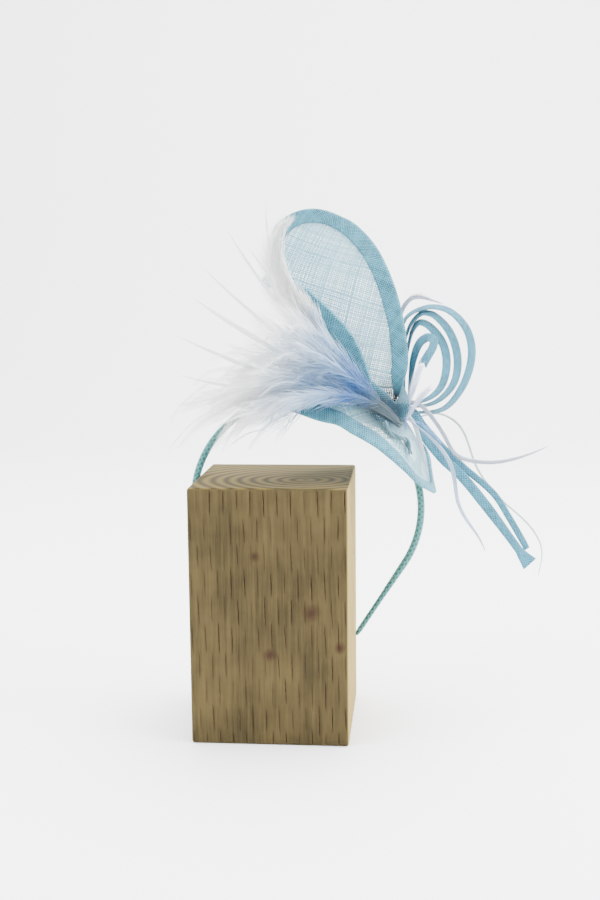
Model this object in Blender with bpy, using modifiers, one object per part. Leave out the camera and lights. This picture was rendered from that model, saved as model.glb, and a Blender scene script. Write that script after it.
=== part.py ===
"""Fascinator on a wooden display block.

A wire headband wrapped in braid grips the block. A domed sinamay base sits on
the band's right shoulder and carries a folded sinamay petal, a bow of loops
with two tails, a fluffy plume with pointed quills and a few trailing feathers.
Metres, +Z up, X to the right and Y away from the front. The origin is the
middle of the block's foot.
"""
from collections import namedtuple
from math import acos, atan2, cos, hypot, pi, radians, sin, sqrt

import bpy
import bmesh
from mathutils import Matrix, Vector

# Clearance between pieces that touch, and round a sheet's edge in its binding
FIT = 0.0003
BIND_FIT = 0.0005

# Wooden block
BLOCK_WIDTH = 0.100
BLOCK_DEPTH = 0.100
BLOCK_HEIGHT = 0.164
BLOCK_EDGE = 0.0014

# Headband: an oval of wire, open at the bottom, leaning over to the right. Gripping
# the block springs it open, so its oval stands out past the block's half width
BAND_BULGE = 0.025
BAND_RADIUS = BLOCK_WIDTH / 2 + BAND_BULGE
BAND_OVAL = 0.947
BAND_DROP = 0.0761
BAND_LEAN = radians(15.04)
BAND_GRIP = 0.0937
BAND_BEHIND = 0.006
BAND_WIRE = 0.0046
BAND_TIP = 0.0034

# Felt pads between the band and the base
PAD_LENGTH = 0.010
PAD_WIDTH = 0.0030
PAD_THICK = 0.0016
PADS_ALONG = {"pad_left": 0.085, "pad_right": 0.88}

# Sinamay sheet and its folded bias binding, and how deep the base's cutter reaches
SHEET = 0.0010
WALL = 0.0010
CUTTER_DEEP = 0.010

# Base: a domed teardrop, pointed at the left end
BASE_LENGTH = 0.135
BASE_HALF = 0.038
BASE_START = radians(126)
BASE_TAPER = 1.0
BASE_BINDING = 0.005
BASE_POINT = radians(24)

# Petal: a teardrop leaf whose near side folds forward low down and back at the top
PETAL_LENGTH = 0.150
PETAL_HALF = 0.0395
PETAL_TAPER = 0.38
PETAL_BINDING = 0.0095
PETAL_POINT = radians(14.3)

# Mount: where everything is stitched to the base
MOUNT_AT = radians(61)
KNOT_LONG = 0.015
KNOT_WIDE = 0.0075
KNOT_HIGH = 0.0060
KNOT_BEHIND = 0.0045

# Bow of folded bias strips
LOOP_WIDTH = 0.0065
LOOP_THICK = 0.0012
LOOP_LENGTH = 0.048
TAIL_WIDTH = 0.0068
TAIL_SLIM = 0.0045
TAIL_LENGTH = 0.128

# Feathers
FEATHER_THICK = 0.0011
TRAIL_LENGTH = 0.095
TRAIL_WIDTH = 0.0045
PLUME_LENGTH = 0.125
PLUME_HEAD = 0.0075
PLUME_LEFT = 0.0095
PLUME_FORE = 0.016
PLUME_RISE = 0.0065
VANE_WIDTH = 0.010
VANE_THICK = 0.0014

SheetRow = namedtuple("SheetRow", "along crest twist sag")
# along from the pointed end; rise of the crest over its seat on the pads and the
# sag of the sides as shares of the half width; twist as a slope that lifts the far side
BASE_ROWS = (
    SheetRow(0.00, 0.000, 0.00, 3.20),
    SheetRow(0.10, 0.000, 0.00, 2.80),
    SheetRow(0.20, 0.020, 0.00, 1.58),
    SheetRow(0.37, 0.076, 0.00, 0.77),
    SheetRow(0.50, 0.160, 0.00, 0.63),
    SheetRow(0.63, 0.207, 0.03, 0.50),
    SheetRow(0.72, 0.174, 0.08, 0.38),
    SheetRow(0.80, 0.083, 0.17, 0.17),
    SheetRow(0.88, 0.000, 0.18, 0.00),
    SheetRow(0.94, 0.035, 0.12, 0.00),
    SheetRow(1.00, 0.115, 0.00, 0.00),
)

PetalRow = namedtuple("PetalRow", "along right back up fold start end curl")
# right, back and up from the mount as shares of the length; fold is how far the near
# side turns over between start and end (shares of the half width), curl is the same
# for the far side; angles in degrees
PETAL_ROWS = (
    PetalRow(0.00, -0.010, 0.030, 0.030, 150, 0.02, 0.50, 10),
    PetalRow(0.10, -0.068, 0.045, 0.093, 160, 0.04, 0.50, 12),
    PetalRow(0.20, -0.119, 0.062, 0.179, 168, 0.14, 0.54, 14),
    PetalRow(0.40, -0.213, 0.086, 0.346, 170, 0.24, 0.66, 14),
    PetalRow(0.58, -0.298, 0.104, 0.518, 160, 0.38, 0.80, 8),
    PetalRow(0.66, -0.332, 0.112, 0.589, 115, 0.38, 0.76, 2),
    PetalRow(0.72, -0.354, 0.116, 0.641, 30, 0.38, 0.70, -4),
    PetalRow(0.80, -0.378, 0.120, 0.706, -65, 0.36, 0.62, -10),
    PetalRow(0.90, -0.404, 0.124, 0.787, -75, 0.34, 0.60, -16),
    PetalRow(1.00, -0.423, 0.126, 0.868, -40, 0.30, 0.60, -18),
)

StripRow = namedtuple("StripRow", "right back up turn width")
# points of a strip from the mount, as shares of its reach; turn rotates the strip
# about its run, 0 with its width front to back; width as a share of the full width
LOOPS = {
    "loop_outer": (
        StripRow(-0.02, 0.28, 0.10, 0, 0.8), StripRow(-0.08, 0.44, 0.50, 0, 1),
        StripRow(0.08, 0.46, 1.24, 15, 1), StripRow(0.37, 0.44, 1.41, 25, 1),
        StripRow(0.68, 0.42, 1.36, 38, 1), StripRow(0.92, 0.40, 1.10, 52, 1),
        StripRow(0.985, 0.38, 0.75, 58, 1), StripRow(0.86, 0.34, 0.33, 52, 1),
        StripRow(0.59, 0.29, 0.03, 35, 1), StripRow(0.10, 0.25, -0.01, 5, 0.8)),
    "loop_middle": (
        StripRow(0.03, 0.28, 0.11, 0, 0.8), StripRow(0.00, 0.44, 0.50, 0, 1),
        StripRow(0.13, 0.45, 1.12, 15, 1), StripRow(0.30, 0.43, 1.325, 28, 1),
        StripRow(0.48, 0.41, 1.30, 40, 1), StripRow(0.70, 0.37, 1.05, 54, 1),
        StripRow(0.795, 0.34, 0.70, 58, 1), StripRow(0.735, 0.30, 0.37, 50, 1),
        StripRow(0.49, 0.26, 0.13, 30, 1), StripRow(0.10, 0.22, 0.055, 5, 0.8)),
    "loop_inner": (
        StripRow(0.08, 0.28, 0.11, 0, 0.8), StripRow(0.08, 0.44, 0.50, 0, 1),
        StripRow(0.16, 0.44, 1.03, 18, 1), StripRow(0.27, 0.42, 1.205, 35, 1),
        StripRow(0.42, 0.39, 1.15, 48, 1), StripRow(0.59, 0.34, 0.93, 58, 1),
        StripRow(0.645, 0.29, 0.66, 60, 1), StripRow(0.58, 0.24, 0.36, 50, 1),
        StripRow(0.40, 0.18, 0.19, 30, 1), StripRow(0.10, 0.14, 0.10, 5, 0.8)),
    "loop_short": (
        StripRow(0.13, 0.28, 0.08, 0, 0.8), StripRow(0.16, 0.42, 0.45, 25, 1),
        StripRow(0.20, 0.38, 0.72, 45, 1), StripRow(0.28, 0.31, 0.93, 55, 1),
        StripRow(0.39, 0.26, 1.01, 60, 1), StripRow(0.465, 0.22, 0.97, 60, 1),
        StripRow(0.455, 0.18, 0.88, 60, 1), StripRow(0.39, 0.16, 0.77, 65, 1),
        StripRow(0.31, 0.15, 0.63, 70, 1)),
}
TAILS = {
    "tail_upper": (
        StripRow(0.02, 0.045, 0.04, 60, 0.8), StripRow(0.08, 0.04, 0.005, 70, 1),
        StripRow(0.125, 0.035, -0.06, 72, 1), StripRow(0.24, 0.03, -0.19, 75, 1),
        StripRow(0.33, 0.025, -0.275, 75, 1), StripRow(0.482, 0.02, -0.41, 75, 1),
        StripRow(0.56, 0.015, -0.53, 75, 1), StripRow(0.63, 0.01, -0.65, 75, 1),
        StripRow(0.652, 0.01, -0.69, 75, 0.9)),
    "tail_lower": (
        StripRow(0.02, -0.02, 0.02, 60, 0.8), StripRow(0.08, -0.02, -0.02, 70, 1),
        StripRow(0.125, -0.02, -0.10, 72, 1), StripRow(0.22, -0.02, -0.22, 75, 1),
        StripRow(0.32, -0.02, -0.315, 75, 1), StripRow(0.45, -0.02, -0.475, 75, 1),
        StripRow(0.605, -0.02, -0.685, 75, 0.8), StripRow(0.63, -0.02, -0.72, 75, 1.1),
        StripRow(0.665, -0.02, -0.762, 75, 1.6)),
}
TRAILS = {
    "trail_long": (
        StripRow(0.035, 0.00, 0.06, 52, 0.5), StripRow(0.085, 0.00, 0.10, 60, 0.8),
        StripRow(0.145, 0.00, 0.07, 65, 1), StripRow(0.25, -0.01, -0.05, 70, 1),
        StripRow(0.335, -0.01, -0.19, 70, 1), StripRow(0.37, -0.01, -0.27, 70, 1),
        StripRow(0.435, -0.01, -0.305, 70, 1), StripRow(0.545, -0.02, -0.325, 70, 1),
        StripRow(0.67, -0.03, -0.325, 70, 0.9), StripRow(0.80, -0.04, -0.295, 70, 0.7),
        StripRow(0.92, -0.05, -0.25, 70, 0.4), StripRow(1.00, -0.06, -0.21, 70, 0.15)),
    "trail_low": (
        StripRow(0.04, -0.085, -0.01, 60, 0.3), StripRow(0.20, -0.12, -0.13, 70, 0.6),
        StripRow(0.33, -0.12, -0.28, 70, 1), StripRow(0.38, -0.12, -0.43, 70, 1),
        StripRow(0.395, -0.12, -0.57, 70, 0.9), StripRow(0.45, -0.12, -0.69, 70, 0.8),
        StripRow(0.55, -0.12, -0.83, 70, 0.5), StripRow(0.59, -0.12, -0.92, 70, 0.2)),
    "trail_green": (
        StripRow(0.04, 0.11, -0.035, 30, 0.3), StripRow(0.13, 0.16, -0.045, 40, 0.5),
        StripRow(0.26, 0.20, -0.01, 50, 0.5), StripRow(0.36, 0.21, -0.05, 60, 0.6),
        StripRow(0.43, 0.21, -0.11, 60, 0.6), StripRow(0.475, 0.21, -0.21, 60, 0.6),
        StripRow(0.54, 0.21, -0.40, 60, 0.6), StripRow(0.63, 0.20, -0.53, 60, 0.5),
        StripRow(0.73, 0.19, -0.64, 60, 0.5), StripRow(0.85, 0.18, -0.74, 60, 0.5),
        StripRow(0.94, 0.17, -0.84, 60, 0.5), StripRow(1.00, 0.16, -0.97, 60, 0.4),
        StripRow(0.97, 0.15, -1.15, 60, 0.2)),
    "trail_top": (
        StripRow(0.03, 0.19, 0.05, 60, 0.3), StripRow(-0.03, 0.30, 0.30, 70, 0.6),
        StripRow(0.005, 0.32, 0.66, 75, 1), StripRow(0.09, 0.32, 0.79, 75, 1),
        StripRow(0.19, 0.31, 0.77, 75, 0.7), StripRow(0.30, 0.30, 0.735, 75, 0.2)),
    "trail_white": (
        StripRow(0.05, -0.055, 0.02, 60, 0.4), StripRow(0.095, -0.065, -0.03, 70, 0.8),
        StripRow(0.13, -0.075, -0.12, 75, 1), StripRow(0.155, -0.075, -0.22, 75, 1),
        StripRow(0.195, -0.07, -0.37, 75, 0.5)),
}

Lock = namedtuple("Lock", "right back up bend thick")
# locks of down from the plume's root: tip offsets as shares of the plume's reach,
# upward bow as a share of the lock's own length, thickness as a share of the head
LOCKS = (
    Lock(-1.00, -0.02, 0.10, 0.07, 0.34), Lock(-0.97, 0.03, 0.16, 0.08, 0.34),
    Lock(-0.93, -0.10, -0.02, 0.13, 0.34), Lock(-0.90, -0.06, 0.24, 0.06, 0.38),
    Lock(-0.86, 0.08, 0.06, 0.10, 0.36), Lock(-0.84, -0.20, 0.10, 0.08, 0.42),
    Lock(-0.80, -0.12, -0.10, 0.17, 0.30), Lock(-0.80, 0.02, 0.32, 0.05, 0.40),
    Lock(-0.76, -0.26, 0.00, 0.10, 0.42), Lock(-0.72, -0.02, -0.14, 0.21, 0.28),
    Lock(-0.70, -0.10, 0.40, 0.04, 0.44), Lock(-0.66, -0.28, 0.22, 0.06, 0.46),
    Lock(-0.60, -0.20, 0.44, 0.04, 0.44), Lock(-0.58, -0.34, 0.08, 0.08, 0.46),
    Lock(-0.50, -0.14, 0.54, 0.03, 0.38), Lock(-0.46, -0.28, 0.34, 0.04, 0.46),
)
CoreRow = namedtuple("CoreRow", "right back up wide")
# the dense middle of the down, from the root, as shares of the reach
CORE = (
    CoreRow(0.02, 0.02, -0.02, 0.06), CoreRow(-0.10, 0.00, 0.05, 0.11),
    CoreRow(-0.26, -0.02, 0.15, 0.17), CoreRow(-0.44, -0.04, 0.22, 0.19),
    CoreRow(-0.58, -0.05, 0.25, 0.13), CoreRow(-0.68, -0.06, 0.26, 0.05),
)
Quill = namedtuple("Quill", "right back up bend width")
# pointed quills from the plume's head, measured the same way, width in shares too
QUILLS = (
    Quill(-0.585, 0.02, 1.05, 0.15, 0.30), Quill(-0.785, 0.00, 0.90, 0.05, 0.32),
    Quill(-0.69, -0.04, 0.83, 0.02, 0.30), Quill(-0.915, -0.02, 0.715, 0.03, 0.32),
    Quill(-0.955, -0.08, 0.56, 0.02, 0.50), Quill(-1.05, -0.04, 0.37, 0.03, 0.40),
    Quill(-1.02, -0.12, 0.17, 0.02, 0.35),
)
Vane = namedtuple("Vane", "right back up")
# the tall white vane beside the petal, from the plume's root
VANE_PATH = (
    Vane(-0.02, 0.000, 0.02), Vane(-0.14, -0.010, 0.12), Vane(-0.25, -0.010, 0.20),
    Vane(-0.33, -0.005, 0.31), Vane(-0.42, 0.000, 0.435), Vane(-0.515, 0.010, 0.545),
    Vane(-0.56, 0.010, 0.63), Vane(-0.59, 0.015, 0.735), Vane(-0.58, 0.020, 0.844),
    Vane(-0.552, 0.030, 0.903), Vane(-0.495, 0.040, 0.985),
)


for old in list(bpy.data.objects):
    bpy.data.objects.remove(old, do_unlink=True)
for old in list(bpy.data.collections):
    bpy.data.collections.remove(old)
parts = bpy.data.collections.new("fascinator")
guides = bpy.data.collections.new("cutters")
bpy.context.scene.collection.children.link(parts)
bpy.context.scene.collection.children.link(guides)


def paint(name, colour, roughness, metallic=0.0):
    """One plain material for one piece."""
    material = bpy.data.materials.new(name)
    material.use_nodes = True
    shader = material.node_tree.nodes["Principled BSDF"]
    shader.inputs["Base Color"].default_value = (*colour, 1.0)
    shader.inputs["Roughness"].default_value = roughness
    shader.inputs["Metallic"].default_value = metallic
    return material


def add(name, mesh, material, smooth=True):
    """Put a mesh in the part's collection under its own name."""
    thing = bpy.data.objects.new(name, mesh)
    parts.objects.link(thing)
    mesh.materials.append(material)
    if smooth:
        mesh.shade_smooth()
    return thing


def guide(thing):
    """Keep a cutter out of the finished part."""
    for owner in list(thing.users_collection):
        owner.objects.unlink(thing)
    guides.objects.link(thing)
    thing.hide_render = True
    thing.display_type = "WIRE"
    return thing


def thicken(thing, thickness, offset=0.0):
    solid = thing.modifiers.new("thickness", "SOLIDIFY")
    solid.thickness = thickness
    solid.offset = offset
    solid.use_even_offset = True
    return solid


def cut(thing, cutter):
    boolean = thing.modifiers.new("cut_" + cutter.name, "BOOLEAN")
    boolean.operation = "DIFFERENCE"
    boolean.solver = "EXACT"
    boolean.object = cutter
    return boolean


def row_value(rows, at, column):
    """Read one column of a table smoothly between its rows."""
    xs = [row.along for row in rows]
    ys = [getattr(row, column) for row in rows]
    return between(xs, ys, at)


def between(xs, ys, at):
    """Cubic reading of ys over xs, straight on beyond the ends."""
    inside = min(max(at, xs[0]), xs[-1])
    i = max(0, min(len(xs) - 2, sum(x <= inside for x in xs) - 1))

    def slope(k):
        a, b = max(0, k - 1), min(len(xs) - 1, k + 1)
        return (ys[b] - ys[a]) / (xs[b] - xs[a])

    span = xs[i + 1] - xs[i]
    t = (inside - xs[i]) / span
    m0, m1 = slope(i) * span, slope(i + 1) * span
    beyond = (at - inside) * slope(0 if at < inside else len(xs) - 1)
    return (beyond + (2 * t ** 3 - 3 * t ** 2 + 1) * ys[i] + (t ** 3 - 2 * t ** 2 + t) * m0
            + (3 * t ** 2 - 2 * t ** 3) * ys[i + 1] + (t ** 3 - t ** 2) * m1)


# Where the band stands: its ends grip the block's sides, its oval leans right
half_gap = (BLOCK_WIDTH / 2 + FIT + BAND_TIP / 2) / cos(BAND_LEAN)
band_across = Vector((cos(BAND_LEAN), 0, -sin(BAND_LEAN)))
band_up = Vector((sin(BAND_LEAN), 0, cos(BAND_LEAN)))
band_foot = Vector((0, BAND_BEHIND, BLOCK_HEIGHT - BAND_GRIP))
band_centre = band_foot + band_up * BAND_DROP


def on_band(angle, height=0.0, back=0.0):
    """Point at an angle round the band's oval, lifted off it and moved back."""
    normal = Vector((cos(angle) * BAND_OVAL, sin(angle)))
    normal.normalize()
    across = BAND_RADIUS * cos(angle) + normal.x * height
    rise = BAND_RADIUS * BAND_OVAL * sin(angle) + normal.y * height
    return band_centre + band_across * across + band_up * rise + Vector((0, back, 0))


def band_out(angle):
    """Outward direction at an angle round the band."""
    return (on_band(angle, 0.001) - on_band(angle)).normalized()


def leaf_edge(turn, length, half, taper):
    """Rim of a flat leaf pattern: pointed at turn 0, round at turn pi."""
    peak = 2 * sqrt(1 / (taper + 2)) * sqrt((taper + 1) / (taper + 2)) ** (taper + 1)
    x = length * (1 - cos(turn)) / 2
    y = half * sin(turn) * abs(sin(turn / 2)) ** taper / peak
    return Vector((x, y))


def inset(turn, depth, length, half, taper, deepest):
    """Pattern point a given depth in from the rim; shallower where the leaf is slim."""
    edge = leaf_edge(turn, length, half, taper)
    step = leaf_edge(turn + 0.01, length, half, taper) - leaf_edge(turn - 0.01, length, half, taper)
    step.normalize()
    inward = Vector((step.y, -step.x))
    if depth > 0 and abs(inward.y) > 0.2:
        depth *= min(1.0, 0.42 * abs(edge.y / inward.y) / deepest)
    return edge + inward * depth


def raised(place, x, y, height):
    """Point off the curved sheet by a height to its outer side."""
    e = 0.0004
    run = place(x + e, y) - place(x - e, y)
    side = place(x, y + e) - place(x, y - e)
    return place(x, y) + side.cross(run).normalized() * height


def sheet_mesh(name, place, length, half, taper, depths, inner, count, start, height=0.0):
    """Curved leaf: rings in from the rim, then rings that close on a spine."""
    turns = [start + (2 * pi - 2 * start) * i / count for i in range(count + 1)]
    rings = [[inset(t, d, length, half, taper, depths[-1]) for t in turns] for d in depths]
    spine = [Vector((length * (0.03 + 0.74 * (1 - cos(turns[min(i, count - i)])) / 2), 0))
             for i in range(count + 1)]
    for k in range(1, inner):
        rings.append([a.lerp(b, k / inner) for a, b in zip(rings[len(depths) - 1], spine)])
    mesh = bmesh.new()
    rows = [[mesh.verts.new(raised(place, p.x, p.y, height)) for p in ring] for ring in rings]
    mid = [mesh.verts.new(raised(place, p.x, p.y, height)) for p in spine[:count // 2 + 1]]
    rows.append([mid[min(i, count - i)] for i in range(count + 1)])
    for outer, nearer in zip(rows, rows[1:]):
        for i in range(count):
            mesh.faces.new((outer[i], outer[i + 1], nearer[i + 1]))
            mesh.faces.new((outer[i], nearer[i + 1], nearer[i]))
    data = bpy.data.meshes.new(name)
    mesh.to_mesh(data)
    mesh.free()
    return data


def binding_mesh(name, place, length, half, taper, depths, count, start, bare=0):
    """Bias strip folded over the rim, clear of the sheet by the fit; bare steps at its ends."""
    off = SHEET / 2 + BIND_FIT + WALL / 2
    inner = list(depths[1:])
    profile = ([(d, off) for d in reversed(inner)]
               + [(-0.3 * off, off), (-1.05 * off, 0.0), (-0.3 * off, -off)]
               + [(d, -off) for d in inner])
    turns = [start + (2 * pi - 2 * start) * i / count for i in range(bare, count + 1 - bare)]
    count -= 2 * bare
    mesh = bmesh.new()
    rows = []
    for depth, height in profile:
        flat = [inset(t, depth, length, half, taper, depths[-1]) for t in turns]
        rows.append([mesh.verts.new(raised(place, p.x, p.y, height)) for p in flat])
    for k, (a, b) in enumerate(zip(rows, rows[1:])):
        for i in range(count):
            if k < len(depths):
                mesh.faces.new((b[i], b[i + 1], a[i + 1])[::-1])
                mesh.faces.new((b[i], a[i + 1], a[i])[::-1])
            else:
                mesh.faces.new((a[i], a[i + 1], b[i + 1]))
                mesh.faces.new((a[i], b[i + 1], b[i]))
    data = bpy.data.meshes.new(name)
    mesh.to_mesh(data)
    mesh.free()
    return data


def smooth_path(points, samples):
    """Even samples on a smooth curve through a few points of any length."""
    lengths = [0.0]
    for a, b in zip(points, points[1:]):
        lengths.append(lengths[-1] + sqrt(sum((p - q) ** 2 for p, q in zip(a[:3], b[:3]))))
    columns = list(zip(*points))
    ats = [lengths[-1] * i / samples for i in range(samples + 1)]
    return [[between(lengths, column, at) for column in columns] for at in ats]


def strip_mesh(name, rows, origin, reach, width, samples, notch=0.0):
    """Flat strip along a route; its width starts front to back and is turned."""
    points = [(r.right * reach, r.back * reach, r.up * reach, r.turn, r.width) for r in rows]
    path = smooth_path(points, samples)
    spots = [origin + Vector(p[:3]) for p in path]
    mesh = bmesh.new()
    rungs = []
    for i, (spot, point) in enumerate(zip(spots, path)):
        run = spots[min(i + 1, samples)] - spots[max(i - 1, 0)]
        run.normalize()
        side = Vector((0, 1, 0))
        side -= run * side.dot(run)
        side.normalize()
        side.rotate(Matrix.Rotation(radians(point[3]), 3, run))
        half = side * width * point[4] / 2
        dip = run * notch if i == samples else Vector((0, 0, 0))
        rungs.append([mesh.verts.new(spot - half), mesh.verts.new(spot - dip),
                      mesh.verts.new(spot + half)])
    for a, b in zip(rungs, rungs[1:]):
        mesh.faces.new((a[0], a[1], b[1], b[0]))
        mesh.faces.new((a[1], a[2], b[2], b[1]))
    data = bpy.data.meshes.new(name)
    mesh.to_mesh(data)
    mesh.free()
    return data


def tapered(name, spots, widths, thicks, sides):
    """Closed spindle along a path, flattened where the thickness is less."""
    mesh = bmesh.new()
    rings = []
    last = len(spots) - 1
    for i, (spot, wide, thick) in enumerate(zip(spots, widths, thicks)):
        run = (spots[min(i + 1, last)] - spots[max(i - 1, 0)]).normalized()
        side = run.cross(Vector((0, 1, 0))).normalized()
        other = side.cross(run).normalized()
        rings.append([mesh.verts.new(spot + side * (wide / 2 * cos(2 * pi * k / sides))
                                     + other * (thick / 2 * sin(2 * pi * k / sides)))
                      for k in range(sides)])
    for a, b in zip(rings, rings[1:]):
        for k in range(sides):
            mesh.faces.new((a[k], a[(k + 1) % sides], b[(k + 1) % sides], b[k]))
    mesh.faces.new(rings[0])
    mesh.faces.new(rings[-1])
    bmesh.ops.recalc_face_normals(mesh, faces=mesh.faces)
    data = bpy.data.meshes.new(name)
    mesh.to_mesh(data)
    mesh.free()
    return data


def ellipsoid(name, centre, axes, sizes, segments, rings):
    """Rounded lump with its three axes along given directions."""
    mesh = bmesh.new()
    bmesh.ops.create_uvsphere(mesh, u_segments=segments, v_segments=rings, radius=1.0)
    turn = Matrix((axes[0] * sizes[0], axes[1] * sizes[1], axes[2] * sizes[2])).transposed()
    bmesh.ops.transform(mesh, matrix=Matrix.Translation(centre) @ turn.to_4x4(), verts=mesh.verts)
    bmesh.ops.recalc_face_normals(mesh, faces=mesh.faces)
    data = bpy.data.meshes.new(name)
    mesh.to_mesh(data)
    mesh.free()
    return data


# Block
mesh = bmesh.new()
bmesh.ops.create_cube(mesh, size=1.0)
bmesh.ops.scale(mesh, vec=(BLOCK_WIDTH, BLOCK_DEPTH, BLOCK_HEIGHT), verts=mesh.verts)
bmesh.ops.translate(mesh, vec=(0, 0, BLOCK_HEIGHT / 2), verts=mesh.verts)
data = bpy.data.meshes.new("wood_block")
mesh.to_mesh(data)
mesh.free()
block = add("wood_block", data, paint("wood_block", (0.45, 0.32, 0.18), 0.75), smooth=False)
bevel = block.modifiers.new("eased_edges", "BEVEL")
bevel.width = BLOCK_EDGE
bevel.segments = 2

# Headband: straight legs that run on from the oval to the two tips
span = hypot(half_gap, BAND_DROP / BAND_OVAL)
leg_from = atan2(-BAND_DROP / BAND_OVAL, half_gap) + acos(BAND_RADIUS / span)
tips = [band_foot + band_across * half_gap * side for side in (1, -1)]
arc = [on_band(leg_from + (pi - 2 * leg_from) * i / 44) for i in range(45)]
right_leg = [tips[0].lerp(arc[0], share) for share in (0.0, 0.02, 0.05, 0.3, 0.6, 0.85)]
left_leg = [tips[1].lerp(arc[-1], share) for share in (0.85, 0.6, 0.3, 0.05, 0.02, 0.0)]
route = right_leg + arc + left_leg
grow = [0.45, 0.8, 1.0]
tip_share = BAND_TIP / BAND_WIRE
leg_wide = [grow[0] * tip_share, grow[1] * tip_share, tip_share,
            (1 + tip_share) / 2, 1.0, 1.0]
wide = leg_wide + [1.0] * len(arc) + leg_wide[::-1]
curve = bpy.data.curves.new("headband_route", "CURVE")
curve.dimensions = "3D"
curve.bevel_depth = BAND_WIRE / 2
curve.bevel_resolution = 2
curve.use_fill_caps = True
spline = curve.splines.new("POLY")
spline.points.add(len(route) - 1)
for point, spot, share in zip(spline.points, route, wide):
    point.co = (*spot, 1)
    point.radius = share
wire = bpy.data.objects.new("headband_wire", curve)
parts.objects.link(wire)
bpy.context.view_layer.update()
data = bpy.data.meshes.new_from_object(wire.evaluated_get(bpy.context.evaluated_depsgraph_get()))
bpy.data.objects.remove(wire, do_unlink=True)
mesh = bmesh.new()
mesh.from_mesh(data)
bmesh.ops.remove_doubles(mesh, verts=mesh.verts, dist=0.00002)
bmesh.ops.recalc_face_normals(mesh, faces=mesh.faces)
mesh.to_mesh(data)
mesh.free()
data.materials.clear()
headband = add("headband", data, paint("headband", (0.10, 0.38, 0.40), 0.55))


base_seat = BAND_WIRE / 2 + PAD_THICK + SHEET / 2 + 2 * FIT


def on_base(x, y):
    """The base's curved surface from its flat pattern, y towards the front."""
    along = x / BASE_LENGTH
    crest = base_seat + row_value(BASE_ROWS, along, "crest") * BASE_HALF
    lift = -row_value(BASE_ROWS, along, "twist") * y
    sag = row_value(BASE_ROWS, along, "sag") * y * y / BASE_HALF
    return on_band(BASE_START - x / BAND_RADIUS, crest + lift - sag, -y)


sinamay = (0.42, 0.68, 0.74)
depths = (0.0, BASE_BINDING)
data = sheet_mesh("base", on_base, BASE_LENGTH, BASE_HALF, BASE_TAPER, depths, 4, 32,
                  BASE_POINT)
base = add("base", data, paint("base", sinamay, 0.7))
thicken(base, SHEET)
data = binding_mesh("base_binding", on_base, BASE_LENGTH, BASE_HALF, BASE_TAPER, depths, 32,
                    BASE_POINT)
base_binding = add("base_binding", data, paint("base_binding", (0.25, 0.52, 0.58), 0.7))
thicken(base_binding, WALL)

# Everything that could reach the base is trimmed just clear of its upper face
data = sheet_mesh("clear_of_base", on_base, BASE_LENGTH, BASE_HALF, BASE_TAPER, depths, 4, 32,
                  BASE_POINT, SHEET / 2 + FIT)
clear_of_base = guide(add("clear_of_base", data, base.data.materials[0]))
thicken(clear_of_base, CUTTER_DEEP, -1.0)

# Felt pads under both ends of the base
for name, share in PADS_ALONG.items():
    angle = BASE_START - share * BASE_LENGTH / BAND_RADIUS
    mesh = bmesh.new()
    bmesh.ops.create_cube(mesh, size=1.0)
    bmesh.ops.scale(mesh, vec=(PAD_LENGTH, PAD_WIDTH, PAD_THICK), verts=mesh.verts)
    out = band_out(angle)
    spot = on_band(angle, BAND_WIRE / 2 + FIT + PAD_THICK / 2)
    along_band = Vector((0, 1, 0)).cross(out)
    frame = Matrix((along_band, Vector((0, 1, 0)), out)).transposed().to_4x4()
    bmesh.ops.transform(mesh, matrix=Matrix.Translation(spot) @ frame, verts=mesh.verts)
    data = bpy.data.meshes.new(name)
    mesh.to_mesh(data)
    mesh.free()
    pad = add(name, data, paint(name, (0.40, 0.42, 0.38), 0.9), smooth=False)
    bevel = pad.modifiers.new("soft_edges", "BEVEL")
    bevel.width = PAD_THICK * 0.25
    bevel.segments = 1

# Knot: the stitched mount that every foot runs into
mount_out = band_out(MOUNT_AT)
mount_along = Vector((0, 1, 0)).cross(mount_out)
mount_x = BAND_RADIUS * (BASE_START - MOUNT_AT)
mount = on_base(mount_x, 0.0)
knot_centre = on_base(mount_x, -KNOT_BEHIND) + mount_out * KNOT_HIGH * 0.5
knot_axes = (mount_along, Vector((0, 1, 0)), mount_out)
knot_sizes = (KNOT_WIDE, KNOT_LONG, KNOT_HIGH)
data = ellipsoid("knot", knot_centre, knot_axes, knot_sizes, 16, 10)
knot = add("knot", data, paint("knot", (0.06, 0.16, 0.20), 0.7))
cut(knot, clear_of_base)
grown = [size + FIT for size in knot_sizes]
data = ellipsoid("clear_of_knot", knot_centre, knot_axes, grown, 16, 10)
clear_of_knot = guide(add("clear_of_knot", data, knot.data.materials[0]))


def on_petal(x, y):
    """The petal's surface from its flat pattern, y towards the near side."""
    along = x / PETAL_LENGTH

    def axis(at):
        return mount + PETAL_LENGTH * Vector([row_value(PETAL_ROWS, at, c)
                                              for c in ("right", "back", "up")])

    rise = (axis(along + 0.02) - axis(along - 0.02)).normalized()
    front = Vector((0, -1, 0))
    front -= rise * front.dot(rise)
    front.normalize()
    left = front.cross(rise)
    if y >= 0:
        total = radians(row_value(PETAL_ROWS, along, "fold"))
        start = row_value(PETAL_ROWS, along, "start") * PETAL_HALF
        end = row_value(PETAL_ROWS, along, "end") * PETAL_HALF
    else:
        total = radians(row_value(PETAL_ROWS, along, "curl"))
        start, end = 0.0, PETAL_HALF
    steps = 24
    out = fore = 0.0
    for k in range(steps):
        reached = abs(y) * (k + 0.5) / steps
        turned = total * min(max((reached - start) / (end - start), 0.0), 1.0)
        out += cos(turned) * abs(y) / steps
        fore += sin(turned) * abs(y) / steps
    return axis(along) + left * (out if y >= 0 else -out) + front * fore


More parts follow.
